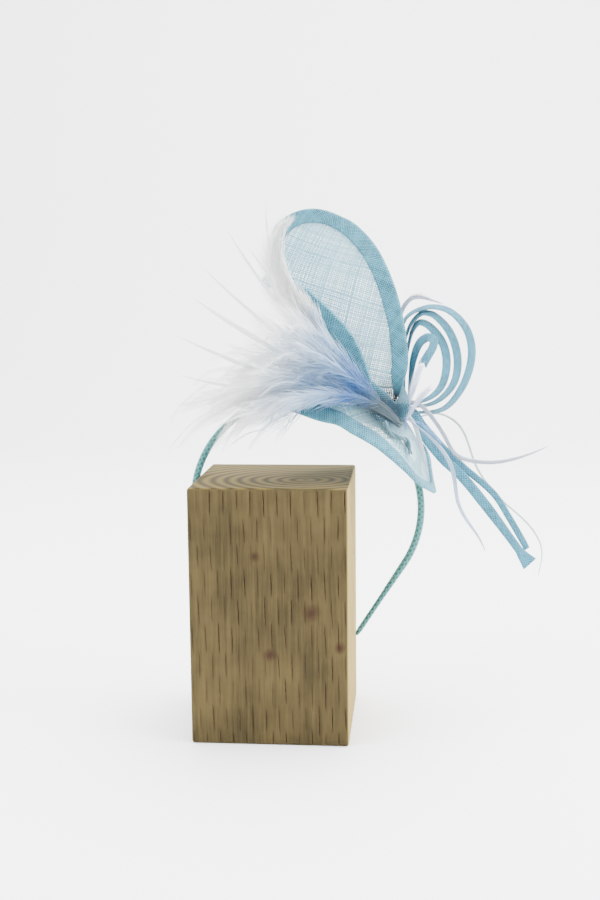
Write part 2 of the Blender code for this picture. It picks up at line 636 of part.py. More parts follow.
depths = (0.0, PETAL_BINDING / 2, PETAL_BINDING)
data = sheet_mesh("petal", on_petal, PETAL_LENGTH, PETAL_HALF, PETAL_TAPER, depths, 5, 48,
                  PETAL_POINT)
petal = add("petal", data, paint("petal", (0.62, 0.80, 0.84), 0.7))
thicken(petal, SHEET)
data = binding_mesh("petal_binding", on_petal, PETAL_LENGTH, PETAL_HALF, PETAL_TAPER, depths, 48,
                    PETAL_POINT, 1)
petal_binding = add("petal_binding", data, paint("petal_binding", (0.25, 0.52, 0.58), 0.7))
thicken(petal_binding, WALL)
for thing in (petal, petal_binding):
    cut(thing, clear_of_knot)
    cut(thing, clear_of_base)

# Bow loops and tails
strip_paint = (0.25, 0.55, 0.62)
for name, rows in LOOPS.items():
    samples, notch = (22, LOOP_WIDTH * 0.42) if name == "loop_short" else (30, 0.0)
    data = strip_mesh(name, rows, mount, LOOP_LENGTH, LOOP_WIDTH, samples, notch)
    strip = add(name, data, paint(name, strip_paint, 0.7))
    thicken(strip, LOOP_THICK)
    cut(strip, clear_of_knot)
for name, rows in TAILS.items():
    wide = TAIL_SLIM if name == "tail_upper" else TAIL_WIDTH
    data = strip_mesh(name, rows, mount, TAIL_LENGTH, wide, 20)
    strip = add(name, data, paint(name, strip_paint, 0.7))
    thicken(strip, LOOP_THICK)
    cut(strip, clear_of_knot)

# Trailing feathers
for name, rows in TRAILS.items():
    data = strip_mesh(name, rows, mount, TRAIL_LENGTH, TRAIL_WIDTH, 20)
    strip = add(name, data, paint(name, (0.70, 0.76, 0.90), 0.8))
    thicken(strip, FEATHER_THICK)
    cut(strip, clear_of_knot)

# Plume: locks, quills and the tall vane fused to a dense middle beside the knot
root = mount + Vector((-PLUME_LEFT, -PLUME_FORE, PLUME_RISE))
spots = [root + Vector((row.right, row.back, row.up)) * PLUME_LENGTH for row in CORE]
shape = [PLUME_LENGTH * row.wide for row in CORE]
plume = add("plume", tapered("plume", spots, shape, [w * 0.8 for w in shape], 8),
            paint("plume", (0.85, 0.90, 0.95), 0.9))
limbs = []
for k, lock in enumerate(LOCKS):
    tip = Vector((lock.right, lock.back, lock.up)) * PLUME_LENGTH
    side = tip.cross(Vector((0, 1, 0))).normalized()
    spots = [root + tip * s - side * tip.length * lock.bend * 4 * s * (1 - s)
             for s in (0.04, 0.3, 0.55, 0.8, 1.0)]
    thick = PLUME_HEAD * lock.thick
    shape = [thick * w for w in (0.9, 2.0, 2.8, 2.0, 0.25)]
    limbs.append(tapered("lock_%d" % k, spots, shape, [w * 0.7 for w in shape], 6))
for k, quill in enumerate(QUILLS):
    tip = Vector((quill.right, quill.back, quill.up)) * PLUME_LENGTH
    side = tip.cross(Vector((0, 1, 0))).normalized()
    spots = [root + tip * s + side * tip.length * quill.bend * 4 * s * (1 - s)
             for s in (0.05, 0.45, 0.8, 1.0)]
    shape = [PLUME_HEAD * quill.width * w for w in (0.6, 0.9, 1.0, 0.15)]
    limbs.append(tapered("quill_%d" % k, spots, shape, [FEATHER_THICK * w for w in (1, 1, 1, 0.5)], 4))
path = smooth_path([tuple(PLUME_LENGTH * v for v in p) for p in VANE_PATH], 10)
spots = [root + Vector(p) for p in path]
shape = [VANE_WIDTH * w for w in (0.3, 0.5, 0.7, 0.9, 1.0, 1.1, 1.1, 1.0, 0.8, 0.5, 0.1)]
limbs.append(tapered("tall_vane", spots, shape, [VANE_THICK] * len(spots), 4))
for data in limbs:
    limb = guide(add(data.name, data, plume.data.materials[0]))
    union = plume.modifiers.new("fuse_" + data.name, "BOOLEAN")
    union.operation = "UNION"
    union.solver = "EXACT"
    union.object = limb
cut(plume, clear_of_knot)
cut(plume, clear_of_base)
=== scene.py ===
from collections import namedtuple
from math import acos, atan2, cos, hypot, pi, radians, sin, sqrt

import bmesh
import bpy
import numpy as np
from mathutils import Matrix, Vector


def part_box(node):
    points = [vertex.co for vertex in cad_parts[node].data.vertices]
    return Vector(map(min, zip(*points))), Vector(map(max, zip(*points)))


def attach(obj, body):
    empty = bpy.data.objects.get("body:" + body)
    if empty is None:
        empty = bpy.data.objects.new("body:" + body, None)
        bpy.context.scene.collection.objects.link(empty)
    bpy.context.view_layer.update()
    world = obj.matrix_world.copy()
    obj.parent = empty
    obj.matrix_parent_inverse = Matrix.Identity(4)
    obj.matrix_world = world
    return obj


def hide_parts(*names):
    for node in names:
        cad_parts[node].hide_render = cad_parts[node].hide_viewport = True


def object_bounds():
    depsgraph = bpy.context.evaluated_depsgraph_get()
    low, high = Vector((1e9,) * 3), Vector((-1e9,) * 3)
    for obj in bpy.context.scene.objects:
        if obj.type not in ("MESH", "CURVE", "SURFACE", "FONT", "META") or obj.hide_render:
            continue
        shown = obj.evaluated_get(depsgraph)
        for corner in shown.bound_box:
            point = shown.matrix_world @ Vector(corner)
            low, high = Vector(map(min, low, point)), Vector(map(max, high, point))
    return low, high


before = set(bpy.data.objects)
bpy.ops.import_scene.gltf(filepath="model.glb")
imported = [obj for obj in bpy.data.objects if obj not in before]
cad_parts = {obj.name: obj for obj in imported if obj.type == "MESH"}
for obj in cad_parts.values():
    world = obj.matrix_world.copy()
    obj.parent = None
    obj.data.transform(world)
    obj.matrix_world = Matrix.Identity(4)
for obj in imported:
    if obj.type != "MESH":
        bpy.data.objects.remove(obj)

cad_box = [list(corner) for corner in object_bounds()]
scene = bpy.context.scene
rng = np.random.default_rng(20)


# Stage: a pale paper sweep that runs from the floor up the wall in one bend, with soft
# window light from the left and front. The camera stands where the photograph's did.
def linear(hexed):
    """sRGB hex to linear RGB."""
    values = [int(hexed[k:k + 2], 16) / 255 for k in (1, 3, 5)]
    return [v / 12.92 if v <= 0.04045 else ((v + 0.055) / 1.055) ** 2.4 for v in values]


def put(tree, kind, links=None, **settings):
    """Add a node: links feed its sockets by name or number, settings are its values."""
    made = tree.nodes.new(kind)
    for name, value in settings.items():
        setattr(made, name, value)
    for key, value in (links or {}).items():
        socket = made.inputs[key]
        if isinstance(value, bpy.types.NodeSocket):
            tree.links.new(value, socket)
        else:
            socket.default_value = value
    return made


def finish_named(name, roughness, **sockets):
    """A material with its Principled shader ready; sockets are set on the shader itself."""
    made = bpy.data.materials.new(name)
    made.use_nodes = True
    shader = made.node_tree.nodes["Principled BSDF"]
    shader.inputs["Roughness"].default_value = roughness
    for key, value in sockets.items():
        shader.inputs[key.replace("_", " ")].default_value = value
    return made, made.node_tree, shader


def thing(name, verts, faces, finish, smooth=True):
    """An object at the origin from arrays of corners and faces."""
    mesh = bpy.data.meshes.new(name)
    mesh.from_pydata(np.asarray(verts).tolist(), [], [tuple(f) for f in faces])
    mesh.update()
    made = bpy.data.objects.new(name, mesh)
    scene.collection.objects.link(made)
    mesh.materials.append(finish)
    if smooth:
        mesh.shade_smooth()
    return made


def store(mesh, name, values):
    """Keep one number, or one spot, for each corner of a mesh, for a material or tree to read."""
    values = np.asarray(values, np.float32)
    kind, field = ("FLOAT", "value") if values.ndim == 1 else ("FLOAT_VECTOR", "vector")
    layer = mesh.attributes.new(name, kind, "POINT")
    layer.data.foreach_set(field, values.ravel())


def settle(made, node=None):
    """A piece of the one rigid body, and the CAD node it stands in for, which is hidden."""
    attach(made, "root")
    if node:
        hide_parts(node)


def two_tints(name, roughness, dark, pale, sheen):
    """A finish whose colour runs from dark to pale by each corner's tone."""
    made, tree, shader = finish_named(name, roughness, Sheen_Weight=sheen)
    tone = put(tree, "ShaderNodeAttribute", attribute_name="tone")
    tint = put(tree, "ShaderNodeValToRGB", {0: tone.outputs["Fac"]})
    tint.color_ramp.elements[0].color = (*linear(dark), 1)
    tint.color_ramp.elements[1].color = (*linear(pale), 1)
    tree.links.new(tint.outputs[0], shader.inputs["Base Color"])
    return made


SWEEP_WIDE = 6.0
SWEEP_NEAR = -3.0
SWEEP_FAR = 1.3
SWEEP_BEND = 0.6
SWEEP_TALL = 4.0
# Matt seamless paper: no gloss, nearly white
paper, tree, shader = finish_named("matt_seamless_paper", 0.95)
shader.inputs["Base Color"].default_value = (*linear("#F4F5F4"), 1)
shader.inputs["Specular IOR Level"].default_value = 0.1
bend = [(SWEEP_FAR + SWEEP_BEND * sin(t), SWEEP_BEND * (1 - cos(t)))
        for t in np.linspace(0, pi / 2, 24)]
profile = [(SWEEP_NEAR, 0.0)] + bend + [(SWEEP_FAR + SWEEP_BEND, SWEEP_TALL)]
verts = [(x, y, z) for y, z in profile for x in (-SWEEP_WIDE / 2, SWEEP_WIDE / 2)]
faces = [(2 * k, 2 * k + 1, 2 * k + 3, 2 * k + 2) for k in range(len(profile) - 1)]
sweep = thing("paper_sweep", verts, faces, paper)

CAMERA_AT = (0.0913, -0.7987, 0.2949)
CAMERA_YAW = -5.372
CAMERA_DOWN = 8.088
CAMERA_ROLL = -0.565
lens = bpy.data.cameras.new("camera")
lens.lens = 50
lens.sensor_width = 36
camera = bpy.data.objects.new("camera", lens)
scene.collection.objects.link(camera)
camera.matrix_world = (Matrix.Translation(CAMERA_AT) @ Matrix.Rotation(radians(-CAMERA_YAW), 4, "Z")
                       @ Matrix.Rotation(radians(90 - CAMERA_DOWN), 4, "X")
                       @ Matrix.Rotation(radians(CAMERA_ROLL), 4, "Z"))
scene.camera = camera

world = bpy.data.worlds.new("soft_room")
world.use_nodes = True
world.node_tree.nodes["Background"].inputs["Color"].default_value = (*linear("#F2F5F7"), 1)
world.node_tree.nodes["Background"].inputs["Strength"].default_value = 2.0
scene.world = world
Lamp = namedtuple("Lamp", "name x y z size watts tint")
LAMPS = (
    Lamp("window", -1.3, -0.9, 1.5, 1.6, 69, "#FFFFFF"),
    Lamp("fill", 1.7, -0.3, 0.9, 1.6, 96, "#FFFFFF"),
    Lamp("top", 0.2, 0.4, 1.9, 1.4, 138, "#FFFFFF"),
)
for lamp in LAMPS:
    light = bpy.data.lights.new(lamp.name, "AREA")
    light.size = lamp.size
    light.energy = lamp.watts
    light.color = linear(lamp.tint)
    held = bpy.data.objects.new(lamp.name, light)
    scene.collection.objects.link(held)
    aim = Vector((0.03, 0, 0.19)) - Vector((lamp.x, lamp.y, lamp.z))
    held.matrix_world = (Matrix.Translation((lamp.x, lamp.y, lamp.z))
                         @ aim.to_track_quat("-Z", "Y").to_matrix().to_4x4())


# Wooden block: a sawn softwood post stood on its end. Its sides are incised, with rows
# of knife slits let in for preservative, and hold a few knots; its top shows the rings.
block_low, block_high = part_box("wood_block")
BLOCK_ROUND = 0.0020
BLOCK_RISE_CELL = 0.0020
KNIVES = 24
INCISION_RISE = 0.0173
INCISION_LONG = 0.0190
INCISION_HALF = 0.00045
INCISION_DEEP = 0.0011
PITH = (0.017, -0.016)
Knot = namedtuple("Knot", "x y z size")
KNOTS = (Knot(0.0270, -0.05, 0.0865, 0.0068), Knot(0.0010, -0.05, 0.0590, 0.0052),
         Knot(0.0455, -0.05, 0.0640, 0.0045), Knot(-0.0080, -0.05, 0.1220, 0.0042),
         Knot(0.0500, 0.015, 0.1100, 0.0035), Knot(-0.0500, -0.010, 0.0700, 0.0045),
         Knot(0.0100, 0.050, 0.0950, 0.0050), Knot(-0.030, 0.050, 0.0400, 0.0030))


def knife_stops(low, high):
    """Grid lines across a side, three to each line of slits, more at the rounded edges."""
    pitch = (high - low) / KNIVES
    stops = [low, low + 0.0004, low + 0.0010, high - 0.0010, high - 0.0004, high]
    for k in range(KNIVES):
        middle = low + pitch * (k + 0.5)
        stops += [middle - INCISION_HALF, middle, middle + INCISION_HALF]
        stops += [low + pitch * k] if k else []
    return sorted(stops)


def box_grid(stops):
    """Welded grid over a box's six faces: corners and quads, facing out."""
    index, verts, faces = {}, [], []

    def corner(key):
        if key not in index:
            index[key] = len(verts)
            verts.append([line[k] for line, k in zip(stops, key)])
        return index[key]

    for axis in range(3):
        one, two = (axis + 1) % 3, (axis + 2) % 3
        for side in (0, len(stops[axis]) - 1):
            for i in range(len(stops[one]) - 1):
                for j in range(len(stops[two]) - 1):
                    keys = []
                    for di, dj in ((0, 0), (1, 0), (1, 1), (0, 1)):
                        key = [0, 0, 0]
                        key[axis], key[one], key[two] = side, i + di, j + dj
                        keys.append(corner(tuple(key)))
                    faces.append(keys if side else keys[::-1])
    return np.array(verts), faces


low, high = np.array(block_low), np.array(block_high)
rise_cells = int((high[2] - low[2]) / BLOCK_RISE_CELL)
rises = sorted([*np.linspace(low[2], high[2], rise_cells), low[2] + 0.0004, low[2] + 0.0010,
                high[2] - 0.0010, high[2] - 0.0004])
verts, faces = box_grid([knife_stops(low[0], high[0]), knife_stops(low[1], high[1]), rises])
core = np.clip(verts, low + BLOCK_ROUND, high - BLOCK_ROUND)
out = verts - core
out /= np.maximum(np.linalg.norm(out, axis=1), 1e-9)[:, None]
spot = core + out * BLOCK_ROUND
slit = np.zeros(len(verts))
slit_rows = int(high[2] / INCISION_RISE / 2) + 3
for axis, side in ((1, -1), (0, 1), (1, 1), (0, -1)):
    across = 1 - axis
    pitch = (high[across] - low[across]) / KNIVES
    line = np.clip(np.round((verts[:, across] - low[across]) / pitch - 0.5), 0, KNIVES - 1)
    line = line.astype(int)
    off = verts[:, across] - low[across] - (line + 0.5) * pitch
    cut = (out[:, axis] * side > 0.99) & (np.abs(off) < INCISION_HALF * 1.2)
    row = np.round((verts[:, 2] / INCISION_RISE - line % 2) / 2).astype(int)
    lean, shift = rng.normal(0.02, 0.015, (2, KNIVES, slit_rows))
    long = rng.uniform(0.75, 1.1, (KNIVES, slit_rows))
    bold = rng.uniform(0.25, 1.0, (KNIVES, slit_rows)) ** 0.7
    middle = (2 * row + line % 2) * INCISION_RISE + (shift[line, row] - 0.02) * 0.06
    along = (verts[:, 2] - middle) / (long[line, row] * INCISION_LONG / 2)
    opened = np.where(cut, np.clip(1 - along ** 2, 0, 1) ** 0.5 * bold[line, row], 0)
    middle_line = np.abs(off) < INCISION_HALF * 0.2
    slit = np.where(middle_line & cut, np.maximum(slit, opened), slit)
    moved = np.where(cut & (np.abs(along) < 1.15), lean[line, row] * (middle - verts[:, 2]), 0)
    moved += np.where(cut, rng.normal(0, 0.00008, len(verts)), 0)
    spot[:, across] += moved
spot -= out * (slit * INCISION_DEEP)[:, None]
ripple = np.sin(spot[:, 0] * 610 + 2 * np.sin(spot[:, 2] * 17)) * np.sin(spot[:, 1] * 590)
spot -= out * (0.00012 * (1 + ripple) * (np.abs(out[:, 2]) < 0.5))[:, None]

# Treated spruce, sawn and dry: straight grey-tan grain, rings on the end, no gloss
softwood, tree, shader = finish_named("sawn_treated_spruce", 0.85, Specular_IOR_Level=0.2)
place = put(tree, "ShaderNodeTexCoord").outputs["Object"]
stretched = put(tree, "ShaderNodeMapping", {"Vector": place, "Scale": (1.0, 1.0, 0.035)})
streaks = put(tree, "ShaderNodeTexNoise", {"Vector": stretched.outputs[0], "Scale": 420.0,
                                           "Detail": 6.0, "Roughness": 0.65})
patches = put(tree, "ShaderNodeTexNoise", {"Vector": place, "Scale": 34.0, "Detail": 4.0})
mixed = put(tree, "ShaderNodeMix", {"Factor": 0.45, "A": streaks.outputs[0],
                                    "B": patches.outputs[0]}, data_type="FLOAT")
side_tint = put(tree, "ShaderNodeValToRGB", {0: mixed.outputs[0]})
side_tint.color_ramp.elements[0].position = 0.36
side_tint.color_ramp.elements[0].color = (*linear("#2C2512"), 1)
side_tint.color_ramp.elements[1].position = 0.64
side_tint.color_ramp.elements[1].color = (*linear("#4B3F24"), 1)
centred = put(tree, "ShaderNodeMapping", {"Vector": place, "Location": (-PITH[0], -PITH[1], 0),
                                          "Scale": (0.8, 1.0, 1.0)})
rings = put(tree, "ShaderNodeTexWave", {"Vector": centred.outputs[0], "Scale": 46.0,
                                        "Distortion": 1.6, "Detail": 2.0, "Detail Scale": 0.4},
            wave_type="RINGS", rings_direction="Z")
top_tint = put(tree, "ShaderNodeValToRGB", {0: rings.outputs["Color"]})
top_tint.color_ramp.elements[0].color = (*linear("#2F270F"), 1)
top_tint.color_ramp.elements[1].color = (*linear("#5C4E24"), 1)
facing = put(tree, "ShaderNodeSeparateXYZ", {0: put(tree, "ShaderNodeNewGeometry").outputs["Normal"]})
on_top = put(tree, "ShaderNodeMapRange", {"Value": facing.outputs["Z"], "From Min": 0.5,
                                          "From Max": 0.8})
# Partly painted light: faces turned to the right are painted paler, partly for paler sawn wood and
# partly as painted light from the right
right_face_lit_share = put(tree, "ShaderNodeMapRange", {"Value": facing.outputs["X"], "From Min": 0.5,
                                            "From Max": 0.9})
paler_wood_and_light = put(tree, "ShaderNodeMix", {"Factor": 0.8, 6: side_tint.outputs[0],
                                    7: (*linear("#968042"), 1)}, data_type="RGBA")
sides = put(tree, "ShaderNodeMix", {"Factor": right_face_lit_share.outputs[0], 6: side_tint.outputs[0],
                                    7: paler_wood_and_light.outputs[2]}, data_type="RGBA")
both = put(tree, "ShaderNodeMix", {"Factor": on_top.outputs[0], 6: sides.outputs[2],
                                   7: top_tint.outputs[0]}, data_type="RGBA")
opened = put(tree, "ShaderNodeAttribute", attribute_name="tone").outputs["Fac"]
warp = put(tree, "ShaderNodeVectorMath", {0: patches.outputs["Color"], 1: (0.006,) * 3, 2: place},
           operation="MULTIPLY_ADD")
for knot in KNOTS:
    away = put(tree, "ShaderNodeVectorMath", {0: warp.outputs[0],
                                              1: (knot.x + 0.003, knot.y + 0.003, knot.z + 0.003)},
               operation="DISTANCE")
    core_of = put(tree, "ShaderNodeMapRange", {"Value": away.outputs["Value"],
                                               "From Min": knot.size * 0.2, "From Max": knot.size,
                                               "To Min": 0.8, "To Max": 0.0})
    opened = put(tree, "ShaderNodeMath", {0: opened, 1: core_of.outputs[0]},
                 operation="MAXIMUM").outputs[0]
# Painted shade: the knife slits are painted near black as the shade inside the cuts; the knot cores
# are the wood's own dark knots
slit_shade_and_knots = put(tree, "ShaderNodeMix", {"Factor": opened, 6: both.outputs[2],
                                      7: (*linear("#27120A"), 1)}, data_type="RGBA")
tree.links.new(slit_shade_and_knots.outputs[2], shader.inputs["Base Color"])
rough = put(tree, "ShaderNodeBump", {"Strength": 0.35, "Distance": 0.0004,
                                     "Height": streaks.outputs[0]})
tree.links.new(rough.outputs[0], shader.inputs["Normal"])
block = thing("wood_post", spot, faces, softwood)
store(block.data, "tone", slit)
settle(block, "wood_block")


# Headband: spring wire 4.6 mm across under a tube of braid. Eight flat teal yarns go
# round each way, over one and under one, and thin out over the two tapered ends.
BLOCK_WIDTH = 0.100
BLOCK_HEIGHT = 0.164
GRIP_GAP = 0.0003
BAND_RADIUS = 0.0750
BAND_OVAL = 0.947
BAND_DROP = 0.0761
BAND_LEAN = radians(15.04)
BAND_GRIP = 0.0937
BAND_BEHIND = 0.006
BAND_WIRE = 0.0046
BAND_TIP = 0.0034
YARNS = 8
YARN_HALF = 0.00078
YARN_THICK = 0.00032
YARN_TURN = 0.0145
YARN_STEP = 0.00048

half_gap = (BLOCK_WIDTH / 2 + GRIP_GAP + BAND_TIP / 2) / cos(BAND_LEAN)
band_across = np.array((cos(BAND_LEAN), 0, -sin(BAND_LEAN)))
band_up = np.array((sin(BAND_LEAN), 0, cos(BAND_LEAN)))
band_foot = np.array((0, BAND_BEHIND, BLOCK_HEIGHT - BAND_GRIP))
band_centre = band_foot + band_up * BAND_DROP
to_rear = np.array((0.0, 1.0, 0.0))


def unit(v):
    """Vectors of length one."""
    return v / np.maximum(np.linalg.norm(v, axis=-1, keepdims=True), 1e-12)


def gone_along(points):
    """How far along a line each of its points lies."""
    return np.r_[0, np.cumsum(np.linalg.norm(np.diff(points, axis=0), axis=1))]


def on_band(angle, height=0.0, back=0.0):
    """Points at angles round the band's oval, lifted off it and moved back."""
    angle, height, back = np.broadcast_arrays(*map(np.asarray, (angle, height, back)))
    off = unit(np.stack([np.cos(angle) * BAND_OVAL, np.sin(angle)], -1))
    across = BAND_RADIUS * np.cos(angle) + off[..., 0] * height
    rise = BAND_RADIUS * BAND_OVAL * np.sin(angle) + off[..., 1] * height
    return (band_centre + across[..., None] * band_across + rise[..., None] * band_up
            + back[..., None] * to_rear)


def tubes(paths, sides, ups, half_wide, half_thick, corners=4):
    """Closed strips of equal length: paths (n, m, 3), and the sizes (n, m) or (m,)."""
    n, m = paths.shape[:2]
    half_wide = np.broadcast_to(half_wide, (n, m))[..., None, None]
    half_thick = np.broadcast_to(half_thick, (n, m))[..., None, None]
    turn = np.linspace(0, 2 * pi, corners, endpoint=False)
    rings = (paths[:, :, None] + sides[:, :, None] * half_wide * np.cos(turn)[:, None]
             + ups[:, :, None] * half_thick * np.sin(turn)[:, None])
    index = np.arange(n * m * corners).reshape(n, m, corners)
    a, b = index[:, :-1], index[:, 1:]
    walls = np.stack([a, np.roll(a, -1, 2), np.roll(b, -1, 2), b], -1).reshape(-1, 4)
    caps = np.concatenate([index[:, 0, ::-1], index[:, -1]])
    return rings.reshape(-1, 3), walls.tolist() + caps.tolist()


def outward(made):
    """Turn every closed lump of a mesh to face outwards."""
    mesh = bmesh.new()
    mesh.from_mesh(made.data)
    bmesh.ops.recalc_face_normals(mesh, faces=mesh.faces)
    mesh.to_mesh(made.data)
    mesh.free()
    return made


leg_from = (atan2(-BAND_DROP / BAND_OVAL, half_gap)
            + acos(BAND_RADIUS / hypot(half_gap, BAND_DROP / BAND_OVAL)))
arc = on_band(np.linspace(leg_from, pi - leg_from, 200))
tips = [band_foot + band_across * half_gap * side for side in (1, -1)]
legs = [tip + (end - tip) * np.linspace(0, 1, 40, endpoint=False)[:, None]
        for tip, end in ((tips[0], arc[0]), (tips[1], arc[-1]))]
route = np.concatenate([legs[0], arc, legs[1][::-1]])
gone = gone_along(route)
band_length = gone[-1]
steps = int(band_length / YARN_STEP)
at = np.linspace(0, band_length, steps)
centre = np.stack([np.interp(at, gone, route[:, k]) for k in range(3)], -1)
run = unit(np.gradient(centre, axis=0))
lift = unit(np.cross(np.broadcast_to(to_rear, run.shape), run))
leg_length = np.linalg.norm(arc[0] - tips[0])
near = np.minimum(at, band_length - at)
core_radius = np.interp(near, [0, 0.002, 0.005, leg_length * 0.5, leg_length],
                        np.array([0.5, 0.85, 1, 1, BAND_WIRE / BAND_TIP]) * BAND_TIP / 2)
paths, ups, sides = [], [], []
for way in (1, -1):
    for k in range(YARNS):
        turn = way * 2 * pi * at / YARN_TURN + 2 * pi * k / YARNS
        over = np.cos(YARNS * 2 * pi * at / YARN_TURN + pi * (k + (way < 0)))
        out = lift * np.cos(turn)[:, None] + to_rear * np.sin(turn)[:, None]
        reach = core_radius - YARN_THICK * 0.9 + over * YARN_THICK * 0.8
        path = centre + out * reach[:, None]
        paths.append(path)
        ups.append(out)
        sides.append(unit(np.cross(out, unit(np.gradient(path, axis=0)))))
# Polyester yarn, dyed and braided: teal, with painted shade darkening the valleys between yarns, a
# little sheen
braid = two_tints("braided_teal_yarn", 0.55, "#04262A", "#207B79", 0.3)
yarn_width = YARN_HALF * core_radius / (BAND_WIRE / 2)
verts, faces = tubes(np.array(paths), np.array(sides), np.array(ups), yarn_width, YARN_THICK / 1.4)
band = thing("braided_band", verts, faces, braid)
middle = np.repeat(centre[None], 2 * YARNS, 0).repeat(4, 1).reshape(-1, 3)
around = np.repeat(np.tile(core_radius, 2 * YARNS), 4)
proud = (np.linalg.norm(verts - middle, axis=1) - around) / YARN_THICK
# Painted shade: each yarn is painted darker where it sinks into the braid and paler where it stands
# proud
store(band.data, "tone", np.clip(0.75 + proud * 0.9, 0, 1))
outward(band)
settle(band, "headband")


# Felt pads: two small grey felt blocks glued between the band and the base, with
# fibres that stand a little proud of the cut edges.
felt, tree, shader = finish_named("pressed_wool_felt", 0.95, Sheen_Weight=0.4)
fuzz = put(tree, "ShaderNodeTexNoise", {"Vector": put(tree, "ShaderNodeTexCoord").outputs["Object"],
                                        "Scale": 1500.0, "Detail": 4.0})
tint = put(tree, "ShaderNodeValToRGB", {0: fuzz.outputs[0]})
tint.color_ramp.elements[0].color = (*linear("#5F6B68"), 1)
tint.color_ramp.elements[1].color = (*linear("#A3ACA8"), 1)
tree.links.new(tint.outputs[0], shader.inputs["Base Color"])
rough = put(tree, "ShaderNodeBump", {"Strength": 0.6, "Distance": 0.0003, "Height": fuzz.outputs[0]})
tree.links.new(rough.outputs[0], shader.inputs["Normal"])
for name in ("pad_left", "pad_right"):
    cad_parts[name].data.materials.clear()
    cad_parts[name].data.materials.append(felt)


# Base: a domed teardrop blocked from sinamay, an open plain weave of banana fibre.
# Real threads cross over and under, and a folded bias strip is sewn round the rim.
SheetRow = namedtuple("SheetRow", "along crest twist sag")
BASE_ROWS = (
    SheetRow(0.00, 0.000, 0.00, 3.20),
    SheetRow(0.10, 0.000, 0.00, 2.80),
    SheetRow(0.20, 0.020, 0.00, 1.58),
    SheetRow(0.37, 0.076, 0.00, 0.77),
    SheetRow(0.50, 0.160, 0.00, 0.63),
    SheetRow(0.63, 0.207, 0.03, 0.50),
    SheetRow(0.72, 0.174, 0.08, 0.38),
    SheetRow(0.80, 0.083, 0.17, 0.17),
    SheetRow(0.88, 0.000, 0.18, 0.00),
    SheetRow(0.94, 0.035, 0.12, 0.00),
    SheetRow(1.00, 0.115, 0.00, 0.00),
)
PAD_THICK = 0.0016
SHEET = 0.0010
BASE_LENGTH = 0.135
BASE_HALF = 0.038
BASE_START = radians(126)
BASE_TAPER = 1.0
BASE_POINT = radians(24)
BASE_BINDING = 0.005
BASE_SLANT = radians(52)
THREAD_PITCH = 0.00125
THREAD_HALF = 0.00043
THREAD_THICK = 0.00009
BIND_CELL = 0.00100
BIND_OFF = SHEET / 2 + 0.0009
base_seat = BAND_WIRE / 2 + PAD_THICK + SHEET / 2 + 2 * GRIP_GAP


def between(xs, ys, at):
    """Smooth reading of ys over xs at many places, straight on beyond the ends."""
    xs, ys, at = (np.asarray(v, float) for v in (xs, ys, at))
    inside = np.clip(at, xs[0], xs[-1])
    i = np.clip(np.searchsorted(xs, inside, side="right") - 1, 0, len(xs) - 2)
    ends = np.r_[0, np.arange(len(xs) - 2), len(xs) - 2], np.r_[1, np.arange(2, len(xs)), len(xs) - 1]
    slope = (ys[ends[1]] - ys[ends[0]]) / (xs[ends[1]] - xs[ends[0]])
    span = xs[i + 1] - xs[i]
    t = (inside - xs[i]) / span
    curve = ((2 * t ** 3 - 3 * t ** 2 + 1) * ys[i] + (t ** 3 - 2 * t ** 2 + t) * slope[i] * span
             + (3 * t ** 2 - 2 * t ** 3) * ys[i + 1] + (t ** 3 - t ** 2) * slope[i + 1] * span)
    return curve + (at - inside) * np.where(at < inside, slope[0], slope[-1])


def column(rows, at, name):
    """Read one column of a table of rows along a sheet."""
    return between([row.along for row in rows], [getattr(row, name) for row in rows], at)


def on_base(x, y):
    """The base's surface from its flat pattern, y towards the front."""
    along = x / BASE_LENGTH
    crest = base_seat + column(BASE_ROWS, along, "crest") * BASE_HALF
    lifted = -column(BASE_ROWS, along, "twist") * y
    sag = column(BASE_ROWS, along, "sag") * y * y / BASE_HALF
    return on_band(BASE_START - x / BAND_RADIUS, crest + lifted - sag, -y)


def leaf_half(x, length, half, taper):
    """Half width of a flat leaf at x from its point."""
    turn = np.arccos(np.clip(1 - 2 * x / length, -1, 1))
    peak = 2 * sqrt(1 / (taper + 2)) * sqrt((taper + 1) / (taper + 2)) ** (taper + 1)
    return half * np.sin(turn) * np.abs(np.sin(turn / 2)) ** taper / peak


def leaf_rim(turn, length, half, taper):
    """Rim points of the leaf, and the way in from each."""
    peak = 2 * sqrt(1 / (taper + 2)) * sqrt((taper + 1) / (taper + 2)) ** (taper + 1)

    def edge(t):
        return np.stack([length * (1 - np.cos(t)) / 2,
                         half * np.sin(t) * np.abs(np.sin(t / 2)) ** taper / peak], -1)

    step = unit(edge(turn + 0.01) - edge(turn - 0.01))
    return edge(turn), np.stack([step[..., 1], -step[..., 0]], -1)


def raised(place, x, y, height):
    """Points off a sheet by a height to its outer side."""
    e = 0.0004
    run = place(x + e, y) - place(x - e, y)
    side = place(x, y + e) - place(x, y - e)
    return place(x, y) + unit(np.cross(side, run)) * np.asarray(height)[..., None]


